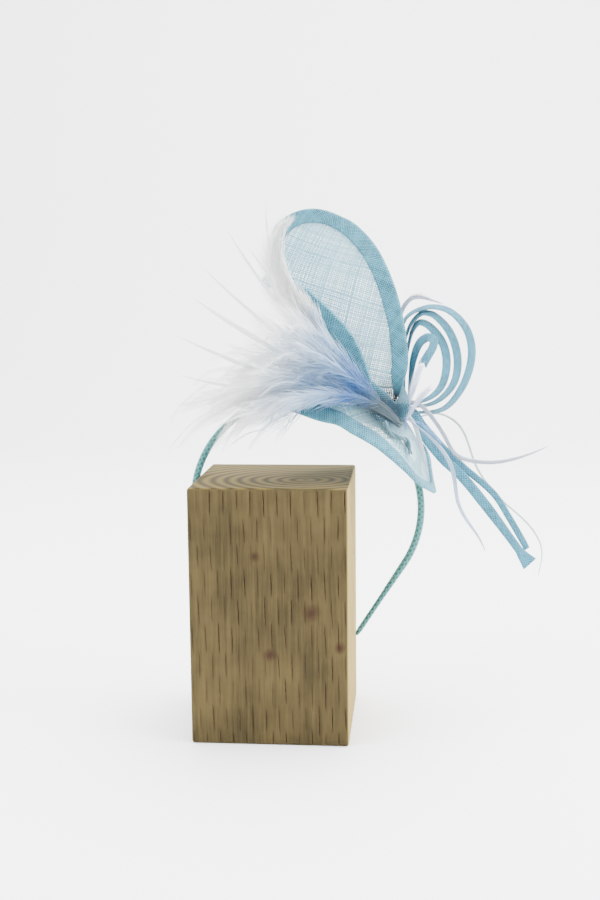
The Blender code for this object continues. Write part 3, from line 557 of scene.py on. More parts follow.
def weave(place, length, half, taper, margin, slant):
    """Threads of an open plain weave laid over a sheet, cut off under its binding."""
    corners, faces, tones = [], [], []
    reach = int(length / THREAD_PITCH) + 2
    for way in (0, 1):
        for line in range(-reach, reach + 1):
            shift = rng.normal(0, 0.10) * THREAD_PITCH
            s = np.arange(-reach, reach + 1) * THREAD_PITCH
            t = np.full_like(s, line * THREAD_PITCH + shift)
            u, v = (s, t) if way == 0 else (t, s)
            x = u * cos(slant) - v * sin(slant) + length / 2
            y = u * sin(slant) + v * cos(slant)
            room = leaf_half(np.clip(x, 0, length), length, half, taper) - margin
            inside = (x > margin) & (x < length - margin) & (np.abs(y) < room)
            if inside.sum() < 3:
                continue
            first, last = np.flatnonzero(inside)[[0, -1]]
            x, y = x[first:last + 1], y[first:last + 1]
            parity = (np.arange(first, last + 1) + line + way) % 2 * 2.0 - 1
            path = raised(place, x, y, parity * THREAD_THICK)
            run = unit(np.gradient(path, axis=0))
            ahead = raised(place, x, y, parity * THREAD_THICK + 0.001)
            up = unit(ahead - path)
            wide = THREAD_HALF * rng.uniform(0.75, 1.25)
            got, sides = tubes(path[None], np.cross(run, up)[None], up[None], wide, THREAD_THICK)
            faces += [[i + len(tones) for i in f] for f in sides]
            corners.append(got)
            slubs = rng.normal(0, 0.15) + np.cumsum(rng.normal(0, 0.08, len(x)))
            tones += np.repeat(np.clip(0.5 + 0.45 * slubs, 0, 1), 4).tolist()
    return np.concatenate(corners), faces, tones


def bound_rim(place, length, half, taper, deep, point, off):
    """The folded strip round a leaf's rim as one closed skin, and its flat cloth places."""
    rim = 2 * (length + 0.9 * half)
    turn = np.linspace(point, 2 * pi - point, int(rim / BIND_CELL))
    edge, inward = leaf_rim(turn, length, half, taper)
    slim = np.minimum(1.0, 0.42 * np.abs(edge[:, 1] / np.where(np.abs(inward[:, 1]) > 0.2,
                                                               inward[:, 1], 1e-3)) / deep)
    slim = np.where(edge[:, 0] < length / 2, slim, 1.0)
    deeps = np.linspace(deep, 0, int(deep / BIND_CELL))
    nose = np.linspace(0, pi, 7)[1:-1]
    depth = np.r_[deeps, -off * np.sin(nose), deeps[::-1], np.linspace(deep, deep, 3)[1:-1]]
    height = np.r_[deeps * 0 + off, off * np.cos(nose), deeps * 0 - off, 0.0]
    across = np.r_[deep - deeps, deep + off * (nose / pi) * 2, deep + 2 * off + deeps[::-1], 0.0]
    along = gone_along(edge)
    wander = 0.00012 * np.sin(along * 190 + 1.7 * np.sin(along * 61))
    rows, flats = [], []
    for d, h, v in zip(depth, height, across):
        d_here = np.where(d > 0, d * slim + wander * (d >= deep * 0.999), d)
        flat = edge + inward * d_here[:, None]
        rows.append(raised(place, flat[:, 0], flat[:, 1], np.full(len(along), h)))
        flats.append(np.stack([along, np.full(len(along), v), along * 0], -1))
    grid = np.array(rows)
    n, m = grid.shape[:2]
    index = np.arange(n * m).reshape(n, m)
    a, b = index, np.roll(index, -1, 0)
    faces = np.stack([a[:, :-1], a[:, 1:], b[:, 1:], b[:, :-1]], -1).reshape(-1, 4).tolist()
    faces += [index[:, 0].tolist(), index[::-1, -1].tolist()]
    return grid.reshape(-1, 3), faces, np.array(flats).reshape(-1, 3)


def plain_weave(tree, pitch):
    """Height and tone of a bias plain weave, from the cloth's own flat coordinates."""
    flat = put(tree, "ShaderNodeAttribute", attribute_name="cloth").outputs["Vector"]
    apart = put(tree, "ShaderNodeSeparateXYZ", {0: flat})
    waves, tones = [], []
    for how in ("ADD", "SUBTRACT"):
        slant = put(tree, "ShaderNodeMath", {0: apart.outputs["X"], 1: apart.outputs["Y"]},
                    operation=how)
        turns = put(tree, "ShaderNodeMath", {0: slant.outputs[0], 1: pitch * sqrt(2)},
                    operation="DIVIDE")
        half_turns = put(tree, "ShaderNodeMath", {0: turns.outputs[0], 1: pi}, operation="MULTIPLY")
        wave = put(tree, "ShaderNodeMath", {0: half_turns.outputs[0]}, operation="SINE")
        own = put(tree, "ShaderNodeMath", {0: turns.outputs[0]}, operation="FLOOR")
        pick = put(tree, "ShaderNodeTexWhiteNoise", {"W": own.outputs[0]}, noise_dimensions="1D")
        waves.append(wave.outputs[0])
        tones.append(pick.outputs["Value"])
    parity = put(tree, "ShaderNodeMath", {0: waves[0], 1: waves[1]}, operation="MULTIPLY")
    crowns = []
    for wave, over in zip(waves, (0.4, -0.4)):
        bare = put(tree, "ShaderNodeMath", {0: wave}, operation="ABSOLUTE")
        proud = put(tree, "ShaderNodeMath", {0: parity.outputs[0], 1: over, 2: 0.7},
                    operation="MULTIPLY_ADD")
        crown = put(tree, "ShaderNodeMath", {0: bare.outputs[0], 1: proud.outputs[0]},
                    operation="MULTIPLY")
        crowns.append(crown.outputs[0])
    height = put(tree, "ShaderNodeMath", {0: crowns[0], 1: crowns[1]}, operation="MAXIMUM")
    both = put(tree, "ShaderNodeMath", {0: tones[0], 1: tones[1]}, operation="ADD")
    tone = put(tree, "ShaderNodeMath", {0: both.outputs[0], 1: 0.5}, operation="MULTIPLY")
    return height.outputs[0], tone.outputs[0]


# Painted shade: the cloth is painted deep teal round the tie, where the quills and knot shade it, over
# a spot long from front to back
TIE_SHADE_SQUASH = np.array((0.8, 0.25, 1.0))
TIE_SHADE_OFF = np.array((-0.008, 0, 0.003))
TIE_SHADE_NEAR = 0.003
TIE_SHADE_FAR = 0.019


def fibre(name, low_tint, high_tint, through, pitch=0.0):
    """Stiffened sinamay: matt fibre that lets some light through, each thread its own tone, with
    painted shade round the tie.
    With a pitch, the weave itself is drawn on a folded strip's skin, its low parts painted darker as
    shade."""
    made, tree, shader = finish_named(name, 0.6, Specular_IOR_Level=0.3, Sheen_Weight=0.15)
    place = put(tree, "ShaderNodeTexCoord").outputs["Object"]
    slub = put(tree, "ShaderNodeTexNoise", {"Vector": place, "Scale": 110.0, "Detail": 4.0})
    if pitch:
        height, tone = plain_weave(tree, pitch)
        # Painted shade: the weave's height is added into the tone, so threads are painted darker where
        # they dip under the crossing threads and paler on their crowns
        tone = put(tree, "ShaderNodeMath", {0: tone, 1: 0.45, 2: height}, operation="MULTIPLY_ADD")
        tone = put(tree, "ShaderNodeMath", {0: tone.outputs[0], 1: 0.85}, operation="MULTIPLY")
        raise_by = put(tree, "ShaderNodeBump", {"Strength": 1.0, "Distance": 0.0006,
                                                "Height": height})
        tree.links.new(raise_by.outputs[0], shader.inputs["Normal"])
        tone = tone.outputs[0]
    else:
        tone = put(tree, "ShaderNodeAttribute", attribute_name="tone").outputs["Fac"]
    both = put(tree, "ShaderNodeMix", {"Factor": 0.3, "A": tone, "B": slub.outputs[0]},
               data_type="FLOAT")
    tint = put(tree, "ShaderNodeValToRGB", {0: both.outputs[0]})
    tint.color_ramp.elements[0].position = 0.33 if pitch else 0.12
    tint.color_ramp.elements[1].position = 0.74 if pitch else 0.88
    tint.color_ramp.elements[0].color = (*linear(low_tint), 1)
    tint.color_ramp.elements[1].color = (*linear(high_tint), 1)
    # Painted shade under the quills and knot: near the tie the colour goes to deep teal
    squashed = put(tree, "ShaderNodeVectorMath", {0: place, 1: TIE_SHADE_SQUASH}, operation="MULTIPLY")
    tie = (mount + TIE_SHADE_OFF) * TIE_SHADE_SQUASH
    away = put(tree, "ShaderNodeVectorMath", {0: squashed.outputs[0], 1: tie}, operation="DISTANCE")
    tie_shade = put(tree, "ShaderNodeMapRange", {"Value": away.outputs["Value"], "From Min": TIE_SHADE_NEAR,
                                             "From Max": TIE_SHADE_FAR, "To Min": 1.5, "To Max": 0.0})
    tie_shaded = put(tree, "ShaderNodeMix", {"Factor": tie_shade.outputs[0], 6: tint.outputs[0],
                                           7: (*linear("#022F40"), 1)}, data_type="RGBA")
    tree.links.new(tie_shaded.outputs[2], shader.inputs["Base Color"])
    glow = put(tree, "ShaderNodeBsdfTranslucent", {"Color": tie_shaded.outputs[2]})
    blend = put(tree, "ShaderNodeMixShader", {0: through, 1: shader.outputs[0], 2: glow.outputs[0]})
    tree.links.new(blend.outputs[0], tree.nodes["Material Output"].inputs["Surface"])
    return made


# The mount's place on the base, which the petal, bow and feathers share
MOUNT_AT = radians(61)
mount_x = BAND_RADIUS * (BASE_START - MOUNT_AT)
mount = on_base(np.array(mount_x), np.array(0.0))

sheet_fibre = fibre("open_sinamay_weave", "#78B4C6", "#C6E4EC", 0.4)
strip_fibre = fibre("bias_sinamay_fold", "#051F2A", "#4B96AC", 0.12, THREAD_PITCH)
corners, faces, tones = weave(on_base, BASE_LENGTH, BASE_HALF, BASE_TAPER, 0.0015, BASE_SLANT)
base_weave = outward(thing("base_weave", corners, faces, sheet_fibre, smooth=False))
store(base_weave.data, "tone", tones)
settle(base_weave, "base")
corners, faces, flat = bound_rim(on_base, BASE_LENGTH, BASE_HALF, BASE_TAPER, BASE_BINDING,
                                  BASE_POINT, BIND_OFF)
base_fold = outward(thing("base_bias_fold", corners, faces, strip_fibre))
store(base_fold.data, "cloth", flat)
settle(base_fold, "base_binding")


# Petal: a tall sinamay leaf, wired in its rim and folded so that the near side turns
# forward low down and back at the top. A wide bias fold binds it.
PetalRow = namedtuple("PetalRow", "along right back up fold start end curl")
PETAL_ROWS = (
    PetalRow(0.00, -0.010, 0.030, 0.030, 150, 0.02, 0.50, 10),
    PetalRow(0.10, -0.068, 0.045, 0.093, 160, 0.04, 0.50, 12),
    PetalRow(0.20, -0.119, 0.062, 0.179, 168, 0.14, 0.54, 14),
    PetalRow(0.40, -0.213, 0.086, 0.346, 170, 0.24, 0.66, 14),
    PetalRow(0.58, -0.298, 0.104, 0.518, 160, 0.38, 0.80, 8),
    PetalRow(0.66, -0.332, 0.112, 0.589, 115, 0.38, 0.76, 2),
    PetalRow(0.72, -0.354, 0.116, 0.641, 30, 0.38, 0.70, -4),
    PetalRow(0.80, -0.378, 0.120, 0.706, -65, 0.36, 0.62, -10),
    PetalRow(0.90, -0.404, 0.124, 0.787, -75, 0.34, 0.60, -16),
    PetalRow(1.00, -0.423, 0.126, 0.868, -40, 0.30, 0.60, -18),
)
PETAL_LENGTH = 0.150
PETAL_HALF = 0.0395
PETAL_TAPER = 0.38
PETAL_POINT = radians(14.3)
PETAL_BINDING = 0.0095
PETAL_SLANT = radians(48)


def on_petal(x, y):
    """The petal's surface from its flat pattern, y towards the near side."""
    along = np.asarray(x / PETAL_LENGTH, float)

    def axis(at):
        return mount + PETAL_LENGTH * np.stack([column(PETAL_ROWS, at, c)
                                                for c in ("right", "back", "up")], -1)

    rise = unit(axis(along + 0.02) - axis(along - 0.02))
    front = np.array([0.0, -1.0, 0.0])
    front = unit(front - rise * (rise @ front)[..., None])
    left = np.cross(front, rise)
    close = y >= 0
    total = np.radians(np.where(close, column(PETAL_ROWS, along, "fold"),
                                column(PETAL_ROWS, along, "curl")))
    start = np.where(close, column(PETAL_ROWS, along, "start"), 0.0) * PETAL_HALF
    end = np.where(close, column(PETAL_ROWS, along, "end"), 1.0) * PETAL_HALF
    steps = 24
    share = (np.arange(steps) + 0.5) / steps
    reached = np.abs(y)[..., None] * share
    turned = total[..., None] * np.clip((reached - start[..., None])
                                        / (end - start)[..., None], 0, 1)
    out = np.cos(turned).sum(-1) * np.abs(y) / steps * np.where(close, 1, -1)
    fore = np.sin(turned).sum(-1) * np.abs(y) / steps
    return axis(along) + left * out[..., None] + front * fore[..., None]


corners, faces, tones = weave(on_petal, PETAL_LENGTH, PETAL_HALF, PETAL_TAPER, 0.002,
                              PETAL_SLANT)
petal_weave = outward(thing("petal_weave", corners, faces, sheet_fibre, smooth=False))
store(petal_weave.data, "tone", tones)
settle(petal_weave, "petal")
corners, faces, flat = bound_rim(on_petal, PETAL_LENGTH, PETAL_HALF, PETAL_TAPER, PETAL_BINDING,
                                  PETAL_POINT + 0.06, BIND_OFF)
petal_fold = outward(thing("petal_bias_fold", corners, faces, strip_fibre))
store(petal_fold.data, "cloth", flat)
settle(petal_fold, "petal_binding")

# The binding's two ends meet in a rounded fold that wraps the petal's foot over the tie
FOOT_PATH = ((-0.0178, 0.0205), (-0.0108, 0.0115), (-0.0054, 0.0052), (-0.0012, 0.0022),
             (0.0026, 0.0058), (0.0032, 0.0110), (0.0028, 0.0170))
FOOT_HALF = 0.0036
FOOT_THICK = 0.0007
FOOT_FORE = 0.0165
FOOT_NEAR = 0.005
FOOT_SPOTS = 70
FOOT_SIDES = 12


def foremost(skin, x, z, near):
    """The foremost y of a skin round one spot, seen from the front."""
    return skin[np.hypot(skin[:, 0] - x, skin[:, 2] - z) < near][:, 1].min()


skin = np.array([corner.co for corner in petal_fold.data.vertices])
knots = np.array(FOOT_PATH)
count = np.linspace(0, len(knots) - 1, FOOT_SPOTS)
path = np.zeros((FOOT_SPOTS, 3))
path[:, 0] = mount[0] + between(np.arange(len(knots)), knots[:, 0], count)
path[:, 2] = mount[2] + between(np.arange(len(knots)), knots[:, 1], count)
first, last = [foremost(skin, end[0], end[2], FOOT_NEAR) for end in (path[0], path[-1])]
fore = mount[1] - FOOT_FORE
path[:, 1] = np.interp(count, [0, 1.5, 4.5, len(knots) - 1],
                       [first, min(first, fore), fore, last])
run = unit(np.gradient(path, axis=0))
side = unit(np.cross(run, to_rear))
wide = FOOT_HALF * np.interp(count, [0, 1, 3, 5, 6], [0.6, 1.45, 1.6, 1, 0.3])
corners, quads = tubes(path[None], side[None], np.cross(run, side)[None], wide[None],
                       FOOT_THICK, FOOT_SIDES)
foot = outward(thing("petal_foot_fold", corners, quads, strip_fibre))
turn = np.linspace(0, 2 * pi, FOOT_SIDES, endpoint=False)
flat = [np.repeat(gone_along(path), FOOT_SIDES), (wide[:, None] * np.cos(turn)).ravel(),
        np.zeros(FOOT_SPOTS * FOOT_SIDES)]
store(foot.data, "cloth", np.stack(flat, -1))
settle(foot, "petal_binding")


# Bow: four loops and two tails of narrow sinamay strip, folded lengthways with the raw
# edges inside, all caught under the knot. The short loop's end is notched.
StripRow = namedtuple("StripRow", "right back up turn width")
LOOPS = {
    "loop_outer": (
        StripRow(-0.02, 0.28, 0.10, 0, 0.8), StripRow(-0.08, 0.44, 0.50, 0, 1),
        StripRow(0.08, 0.46, 1.24, 15, 1), StripRow(0.37, 0.44, 1.41, 25, 1),
        StripRow(0.68, 0.42, 1.36, 38, 1), StripRow(0.92, 0.40, 1.10, 52, 1),
        StripRow(0.985, 0.38, 0.75, 58, 1), StripRow(0.86, 0.34, 0.33, 52, 1),
        StripRow(0.59, 0.29, 0.03, 35, 1), StripRow(0.10, 0.25, -0.01, 5, 0.8)),
    "loop_middle": (
        StripRow(0.03, 0.28, 0.11, 0, 0.8), StripRow(0.00, 0.44, 0.50, 0, 1),
        StripRow(0.13, 0.45, 1.12, 15, 1), StripRow(0.30, 0.43, 1.325, 28, 1),
        StripRow(0.48, 0.41, 1.30, 40, 1), StripRow(0.70, 0.37, 1.05, 54, 1),
        StripRow(0.795, 0.34, 0.70, 58, 1), StripRow(0.735, 0.30, 0.37, 50, 1),
        StripRow(0.49, 0.26, 0.13, 30, 1), StripRow(0.10, 0.22, 0.055, 5, 0.8)),
    "loop_inner": (
        StripRow(0.08, 0.28, 0.11, 0, 0.8), StripRow(0.08, 0.44, 0.50, 0, 1),
        StripRow(0.16, 0.44, 1.03, 18, 1), StripRow(0.27, 0.42, 1.205, 35, 1),
        StripRow(0.42, 0.39, 1.15, 48, 1), StripRow(0.59, 0.34, 0.93, 58, 1),
        StripRow(0.645, 0.29, 0.66, 60, 1), StripRow(0.58, 0.24, 0.36, 50, 1),
        StripRow(0.40, 0.18, 0.19, 30, 1), StripRow(0.10, 0.14, 0.10, 5, 0.8)),
    "loop_short": (
        StripRow(0.13, 0.28, 0.08, 0, 0.8), StripRow(0.16, 0.42, 0.45, 25, 1),
        StripRow(0.20, 0.38, 0.72, 45, 1), StripRow(0.28, 0.31, 0.93, 55, 1),
        StripRow(0.39, 0.26, 1.01, 60, 1), StripRow(0.465, 0.22, 0.97, 60, 1),
        StripRow(0.455, 0.18, 0.88, 60, 1), StripRow(0.39, 0.16, 0.77, 65, 1),
        StripRow(0.31, 0.15, 0.63, 70, 1)),
}
TAILS = {
    "tail_upper": (
        StripRow(0.02, 0.045, 0.04, 60, 0.8), StripRow(0.08, 0.04, 0.005, 70, 1),
        StripRow(0.125, 0.035, -0.06, 72, 1), StripRow(0.24, 0.03, -0.19, 75, 1),
        StripRow(0.33, 0.025, -0.275, 75, 1), StripRow(0.482, 0.02, -0.41, 75, 1),
        StripRow(0.56, 0.015, -0.53, 75, 1), StripRow(0.63, 0.01, -0.65, 75, 1),
        StripRow(0.652, 0.01, -0.69, 75, 0.9)),
    "tail_lower": (
        StripRow(0.02, -0.02, 0.02, 60, 0.8), StripRow(0.08, -0.02, -0.02, 70, 1),
        StripRow(0.125, -0.02, -0.10, 72, 1), StripRow(0.22, -0.02, -0.22, 75, 1),
        StripRow(0.32, -0.02, -0.315, 75, 1), StripRow(0.45, -0.02, -0.475, 75, 1),
        StripRow(0.605, -0.02, -0.685, 75, 0.8), StripRow(0.63, -0.02, -0.72, 75, 1.1),
        StripRow(0.665, -0.02, -0.762, 75, 1.6)),
}
LOOP_WIDTH = 0.0065
LOOP_THICK = 0.0012
LOOP_LENGTH = 0.048
LOOP_NOTCH = 0.42
TAIL_WIDTH = 0.0068
TAIL_SLIM = 0.0045
TAIL_LENGTH = 0.128
STRIP_CELL = 0.00090
STRIP_ACROSS = 11


def strip_route(rows, reach, step):
    """Spots, run, width direction and width share along a strip's table of rows."""
    points = np.array([row[:3] for row in rows]) * reach
    gone = gone_along(points)
    at = np.linspace(0, gone[-1], int(gone[-1] / step) + 1)
    spots = mount + np.stack([between(gone, points[:, k], at) for k in range(3)], -1)
    run = unit(np.gradient(spots, axis=0))
    side = unit(to_rear - run * run[:, 1:2])
    turn = np.radians(between(gone, [row.turn for row in rows], at))[:, None]
    side = side * np.cos(turn) + np.cross(run, side) * np.sin(turn)
    return at, spots, run, side, between(gone, [row.width for row in rows], at)


def folded_strip(name, rows, reach, width, notch=0.0):
    """One folded strip as a closed skin that knows where it lies on the flat cloth."""
    at, spots, run, side, share = strip_route(rows, reach, STRIP_CELL)
    up = np.cross(run, side)
    half = width * share / 2
    u = np.cos(np.linspace(0, pi, STRIP_ACROSS))
    u = np.r_[u, -u[1:-1]]
    top = np.r_[np.ones(STRIP_ACROSS), -np.ones(STRIP_ACROSS - 2)]
    puff = (1 - np.abs(u) ** 5) * (1 - 0.25 * np.exp(-(u / 0.12) ** 2))
    lift_by = top * (puff * LOOP_THICK / 2 + 0.00008)
    back_off = notch * (1 - np.abs(u)) * np.clip((at - at[-1]) / (2 * notch + 1e-9) + 1, 0, 1)[:, None]
    rings = (spots[:, None] + side[:, None] * (u * half[:, None])[..., None]
             + up[:, None] * lift_by[None, :, None] - run[:, None] * back_off[..., None])
    n, m = rings.shape[:2]
    index = np.arange(n * m).reshape(n, m)
    p, q = index[:-1], index[1:]
    faces = np.stack([p, np.roll(p, -1, 1), np.roll(q, -1, 1), q], -1).reshape(-1, 4).tolist()
    faces += [index[0, ::-1].tolist(), index[-1].tolist()]
    made = outward(thing(name + "_fold", rings.reshape(-1, 3), faces, narrow_fibre))
    across = top * (1.0 - u) * width / 2
    flat = np.stack(np.broadcast_arrays(at[:, None], across[None], 0.0), -1)
    store(made.data, "cloth", flat.reshape(-1, 3))
    settle(made, name)


narrow_fibre = fibre("narrow_sinamay_strip", "#052A38", "#3F8AA4", 0.12, THREAD_PITCH * 0.9)
for name, rows in LOOPS.items():
    folded_strip(name, rows, LOOP_LENGTH, LOOP_WIDTH,
                 LOOP_WIDTH * LOOP_NOTCH if name == "loop_short" else 0.0)
for name, rows in TAILS.items():
    folded_strip(name, rows, TAIL_LENGTH, TAIL_SLIM if name == "tail_upper" else TAIL_WIDTH)


# Knot: the feather butts, strips and petal foot gathered and bound down on the base
# with many turns of dark teal thread, over a scrap of rolled sinamay.
KNOT_LONG = 0.015
KNOT_WIDE = 0.0075
KNOT_HIGH = 0.0060
KNOT_BEHIND = 0.0045
WRAP_THREAD = 0.00030
WRAP_PITCH = 0.00075
WRAP_STEPS = 40
knot_out = unit(np.array((cos(MOUNT_AT) * BAND_OVAL, sin(MOUNT_AT))))
knot_out = knot_out[0] * band_across + knot_out[1] * band_up
knot_along = np.cross(to_rear, knot_out)
knot_centre = on_base(np.array(mount_x), np.array(-KNOT_BEHIND)) + knot_out * KNOT_HIGH * 0.5
# Twisted polyester thread, dark teal, slightly shiny
dark_thread = two_tints("twisted_teal_thread", 0.45, "#0B2F3A", "#3F7685", 0.2)
paths, sides, ups = [], [], []
for tilt, share in ((0.0, 0.93), (0.5, 0.96), (-0.45, 1.0)):
    turns = int(2 * KNOT_WIDE * share / WRAP_PITCH)
    around = np.linspace(0, 2 * pi * turns, turns * WRAP_STEPS)
    across = np.linspace(-0.97, 0.97, len(around))
    width = np.sqrt(1 - across ** 2)
    y = KNOT_LONG * share * width * np.cos(around)
    a = KNOT_WIDE * share * across + tilt * y * 0.35 * width
    a = np.clip(a, -KNOT_WIDE, KNOT_WIDE)
    o = KNOT_HIGH * share * np.sqrt(np.clip(1 - (a / KNOT_WIDE) ** 2 * 0.9 - (y / KNOT_LONG) ** 2,
                                            0, 1)) * np.sign(np.sin(around))
    path = knot_centre + a[:, None] * knot_along + y[:, None] * to_rear + o[:, None] * knot_out
    path = path[np.r_[True, np.linalg.norm(np.diff(path, axis=0), axis=1) > 2e-5]]
    run = unit(np.gradient(path, axis=0))
    up = unit(path - knot_centre)
    up = unit(up - run * (up * run).sum(-1, keepdims=True))
    paths.append(path)
    sides.append(np.cross(run, up))
    ups.append(up)
corners, faces, tones = [], [], []
for path, side, up in zip(paths, sides, ups):
    got, quads = tubes(path[None], side[None], up[None], WRAP_THREAD, WRAP_THREAD, 5)
    faces += [[i + len(tones) for i in f] for f in quads]
    corners.append(got)
    tones += (0.5 + 0.5 * np.sin(np.arange(len(got)) * 0.37)).tolist()
wraps = outward(thing("knot_wraps", np.concatenate(corners), faces, dark_thread))
store(wraps.data, "tone", tones)
settle(wraps, "knot")

# The rolled scrap's end comes out under the wraps and lies down over the base, and the cut
# quill butts cross above it
ROLL_PATH = ((-0.0085, -0.0020), (-0.0050, -0.0080), (0.0000, -0.0115), (0.0045, -0.0135),
             (0.0068, -0.0180), (0.0080, -0.0230))
ROLL_HALF = 0.0011
ROLL_OFF = 0.0008
ROLL_NEAR = 0.0025
ROLL_SPOTS = 60
BUTTS_FROM = (-0.0235, -0.0185, 0.0120)
BUTTS_TO = (0.0030, -0.0175, -0.0050)
BUTT_HALF = 0.0012
BUTTS = 6
BUTT_SPOTS = 16
s = np.linspace(0, 1, ROLL_SPOTS)
knots = np.array(ROLL_PATH)
skin = np.concatenate([[corner.co for corner in made.data.vertices]
                       for made in (base_weave, base_fold)])
middle = np.zeros((ROLL_SPOTS, 3))
middle[:, 0] = mount[0] + between(np.arange(len(knots)), knots[:, 0], s * (len(knots) - 1))
middle[:, 2] = mount[2] + between(np.arange(len(knots)), knots[:, 1], s * (len(knots) - 1))
middle[:, 1] = [foremost(skin, x, z, ROLL_NEAR) - ROLL_OFF for x, z in middle[:, ::2]]
for _ in range(8):
    middle[1:-1, 1] = (middle[:-2, 1] + middle[2:, 1]) / 2
run = unit(np.gradient(middle, axis=0))
across = unit(np.cross(run, to_rear))
rise = np.cross(run, across)
paths = [middle + ROLL_HALF * 0.8 * (across * np.cos(9 * s + k)[:, None]
                                     + rise * np.sin(9 * s + k)[:, None]) for k in (0, pi)]
girth = ROLL_HALF * np.interp(s, [0, 0.1, 0.85, 1], [0.5, 1, 1, 0.4])
corners, quads = tubes(np.array(paths), np.array([across] * 2), np.array([rise] * 2), girth,
                       girth, 8)
roll = outward(thing("rolled_end", corners, quads, dark_thread))
store(roll.data, "tone", rng.uniform(0, 0.7, len(corners)))
settle(roll, "knot")

# Bare quill butts: horny, grey and half clear
horn, tree, shader = finish_named("grey_quill_horn", 0.35)
shader.inputs["Base Color"].default_value = (*linear("#2F424C"), 1)
shader.inputs["Transmission Weight"].default_value = 0.25
paths, sides, ups = [], [], []
for k in range(BUTTS):
    start = np.array(BUTTS_FROM) + np.array((0.0010, 0.0006 * (k % 2), 0.0015)) * (k - 2.5)
    end = np.array(BUTTS_TO) + np.array((0.0005, 0.0003 * (k % 3), 0.0007)) * (k - 2.5)
    end = start + (end - start) * rng.uniform(0.85, 1.0)
    s = np.linspace(0, 1, BUTT_SPOTS)[:, None]
    path = mount + start + (end - start) * s + np.array((0, 0, 0.001)) * np.sin(pi * s)
    run = unit(np.gradient(path, axis=0))
    paths.append(path)
    sides.append(unit(np.cross(run, to_rear)))
    ups.append(np.cross(run, sides[-1]))
girth = BUTT_HALF * np.interp(s[:, 0], [0, 0.5, 0.92, 1], [0.7, 1, 0.8, 0.3])
corners, quads = tubes(np.array(paths), np.array(sides), np.array(ups), girth, girth, 8)
butts = outward(thing("quill_butts", corners, quads, horn))
settle(butts, "plume")

# Three stitches hold the base's point to the band; the degrees are measured from the point
STITCH_THREAD = 0.00022
STITCH_TURNS = (3.6, 4.6, 6.4)
STITCH_OFF = 0.0004
paths, sides, ups = [], [], []
for degrees_on in STITCH_TURNS:
    angle = BASE_START + radians(degrees_on)
    turn = np.linspace(0, 2 * pi * 0.985, 30)
    height = (BAND_WIRE / 2 + STITCH_OFF) * np.cos(turn)
    back = (BAND_WIRE / 2 + STITCH_OFF) * np.sin(turn)
    path = on_band(angle + 0.006 * np.sin(turn), height, back)
    run = unit(np.gradient(path, axis=0))
    up = unit(path - on_band(angle))
    up = unit(up - run * (up * run).sum(-1, keepdims=True))
    paths.append(path)
    ups.append(up)
    sides.append(np.cross(run, up))
corners, quads = tubes(np.array(paths), np.array(sides), np.array(ups), STITCH_THREAD,
                       STITCH_THREAD, 6)
stitches = outward(thing("end_stitches", corners, quads, dark_thread))
store(stitches.data, "tone", np.zeros(len(corners)))
settle(stitches)


# Plume: down feathers bunched at one root, with stiff stripped quills and one tall vane.
# Every barb is grown on its shaft; the dye is deep blue at the root and fades to white.
Lock = namedtuple("Lock", "right back up bend")
LOCKS = (
    Lock(-1.00, -0.02, 0.10, 0.07), Lock(-0.97, 0.03, 0.16, 0.08),
    Lock(-0.93, -0.10, -0.02, 0.13), Lock(-0.90, -0.06, 0.24, 0.06),
    Lock(-0.86, 0.08, 0.06, 0.10), Lock(-0.84, -0.20, 0.10, 0.08),
    Lock(-0.80, -0.12, -0.10, 0.17), Lock(-0.80, 0.02, 0.32, 0.05),
    Lock(-0.76, -0.26, 0.00, 0.10), Lock(-0.72, -0.02, -0.14, 0.21),
    Lock(-0.70, -0.10, 0.40, 0.04), Lock(-0.66, -0.28, 0.22, 0.06),
    Lock(-0.60, -0.20, 0.44, 0.04), Lock(-0.58, -0.34, 0.08, 0.08),
    Lock(-0.50, -0.14, 0.54, 0.03), Lock(-0.46, -0.28, 0.34, 0.04),
)
Quill = namedtuple("Quill", "right back up bend width")
QUILLS = (
    Quill(-0.585, 0.02, 1.05, 0.15, 0.30), Quill(-0.785, 0.00, 0.90, 0.05, 0.32),
    Quill(-0.69, -0.04, 0.83, 0.02, 0.30), Quill(-0.915, -0.02, 0.715, 0.03, 0.32),
    Quill(-0.955, -0.08, 0.56, 0.02, 0.50), Quill(-1.05, -0.04, 0.37, 0.03, 0.40),
    Quill(-1.02, -0.12, 0.17, 0.02, 0.35),
)
Vane = namedtuple("Vane", "right back up")
VANE_PATH = (
    Vane(-0.02, 0.000, 0.02), Vane(-0.14, -0.010, 0.12), Vane(-0.25, -0.010, 0.20),
    Vane(-0.33, -0.005, 0.31), Vane(-0.42, 0.000, 0.435), Vane(-0.515, 0.010, 0.545),
    Vane(-0.56, 0.010, 0.63), Vane(-0.59, 0.015, 0.735), Vane(-0.58, 0.020, 0.844),
    Vane(-0.552, 0.030, 0.903), Vane(-0.495, 0.040, 0.985),
)
PLUME_LENGTH = 0.125
PLUME_HEAD = 0.0075
PLUME_LEFT = 0.0095
PLUME_FORE = 0.016
PLUME_RISE = 0.0065
SHAFT_STEP = 0.004
LOCK_SPLITS = 3
LOCK_SPLIT_FAN = 0.055
LOCK_BARB = 0.021
VANE_BARB = 0.020
BLUE_TIP = (-0.055, -0.008, 0.048)
BLUE_BARB = 0.018
VANE_LEAN = (0.006, -0.006, 0.0)
Shift = namedtuple("Shift", "right back roll")
VANES = (Shift(0, 0, 0), Shift(-0.004, -0.003, 0.5), Shift(0.005, 0.002, -0.5))
WISPS = 44
WISP_BARB = 0.0048
WISP_LEFT = 0.016
WISP_LOW = 0.020
WISP_FRONT = 0.003
root = mount + np.array((-PLUME_LEFT, -PLUME_FORE, PLUME_RISE))


# What is drawn for each barb: its lean, ruffle and fall as shares of the feather's own, its
# roll, its length as a share, and its tone
BARB_CHANCES = ((-1, 1), (-1, 1), (-1, 0), (-0.6, 0.6), (0.7, 1.15), (0, 1))


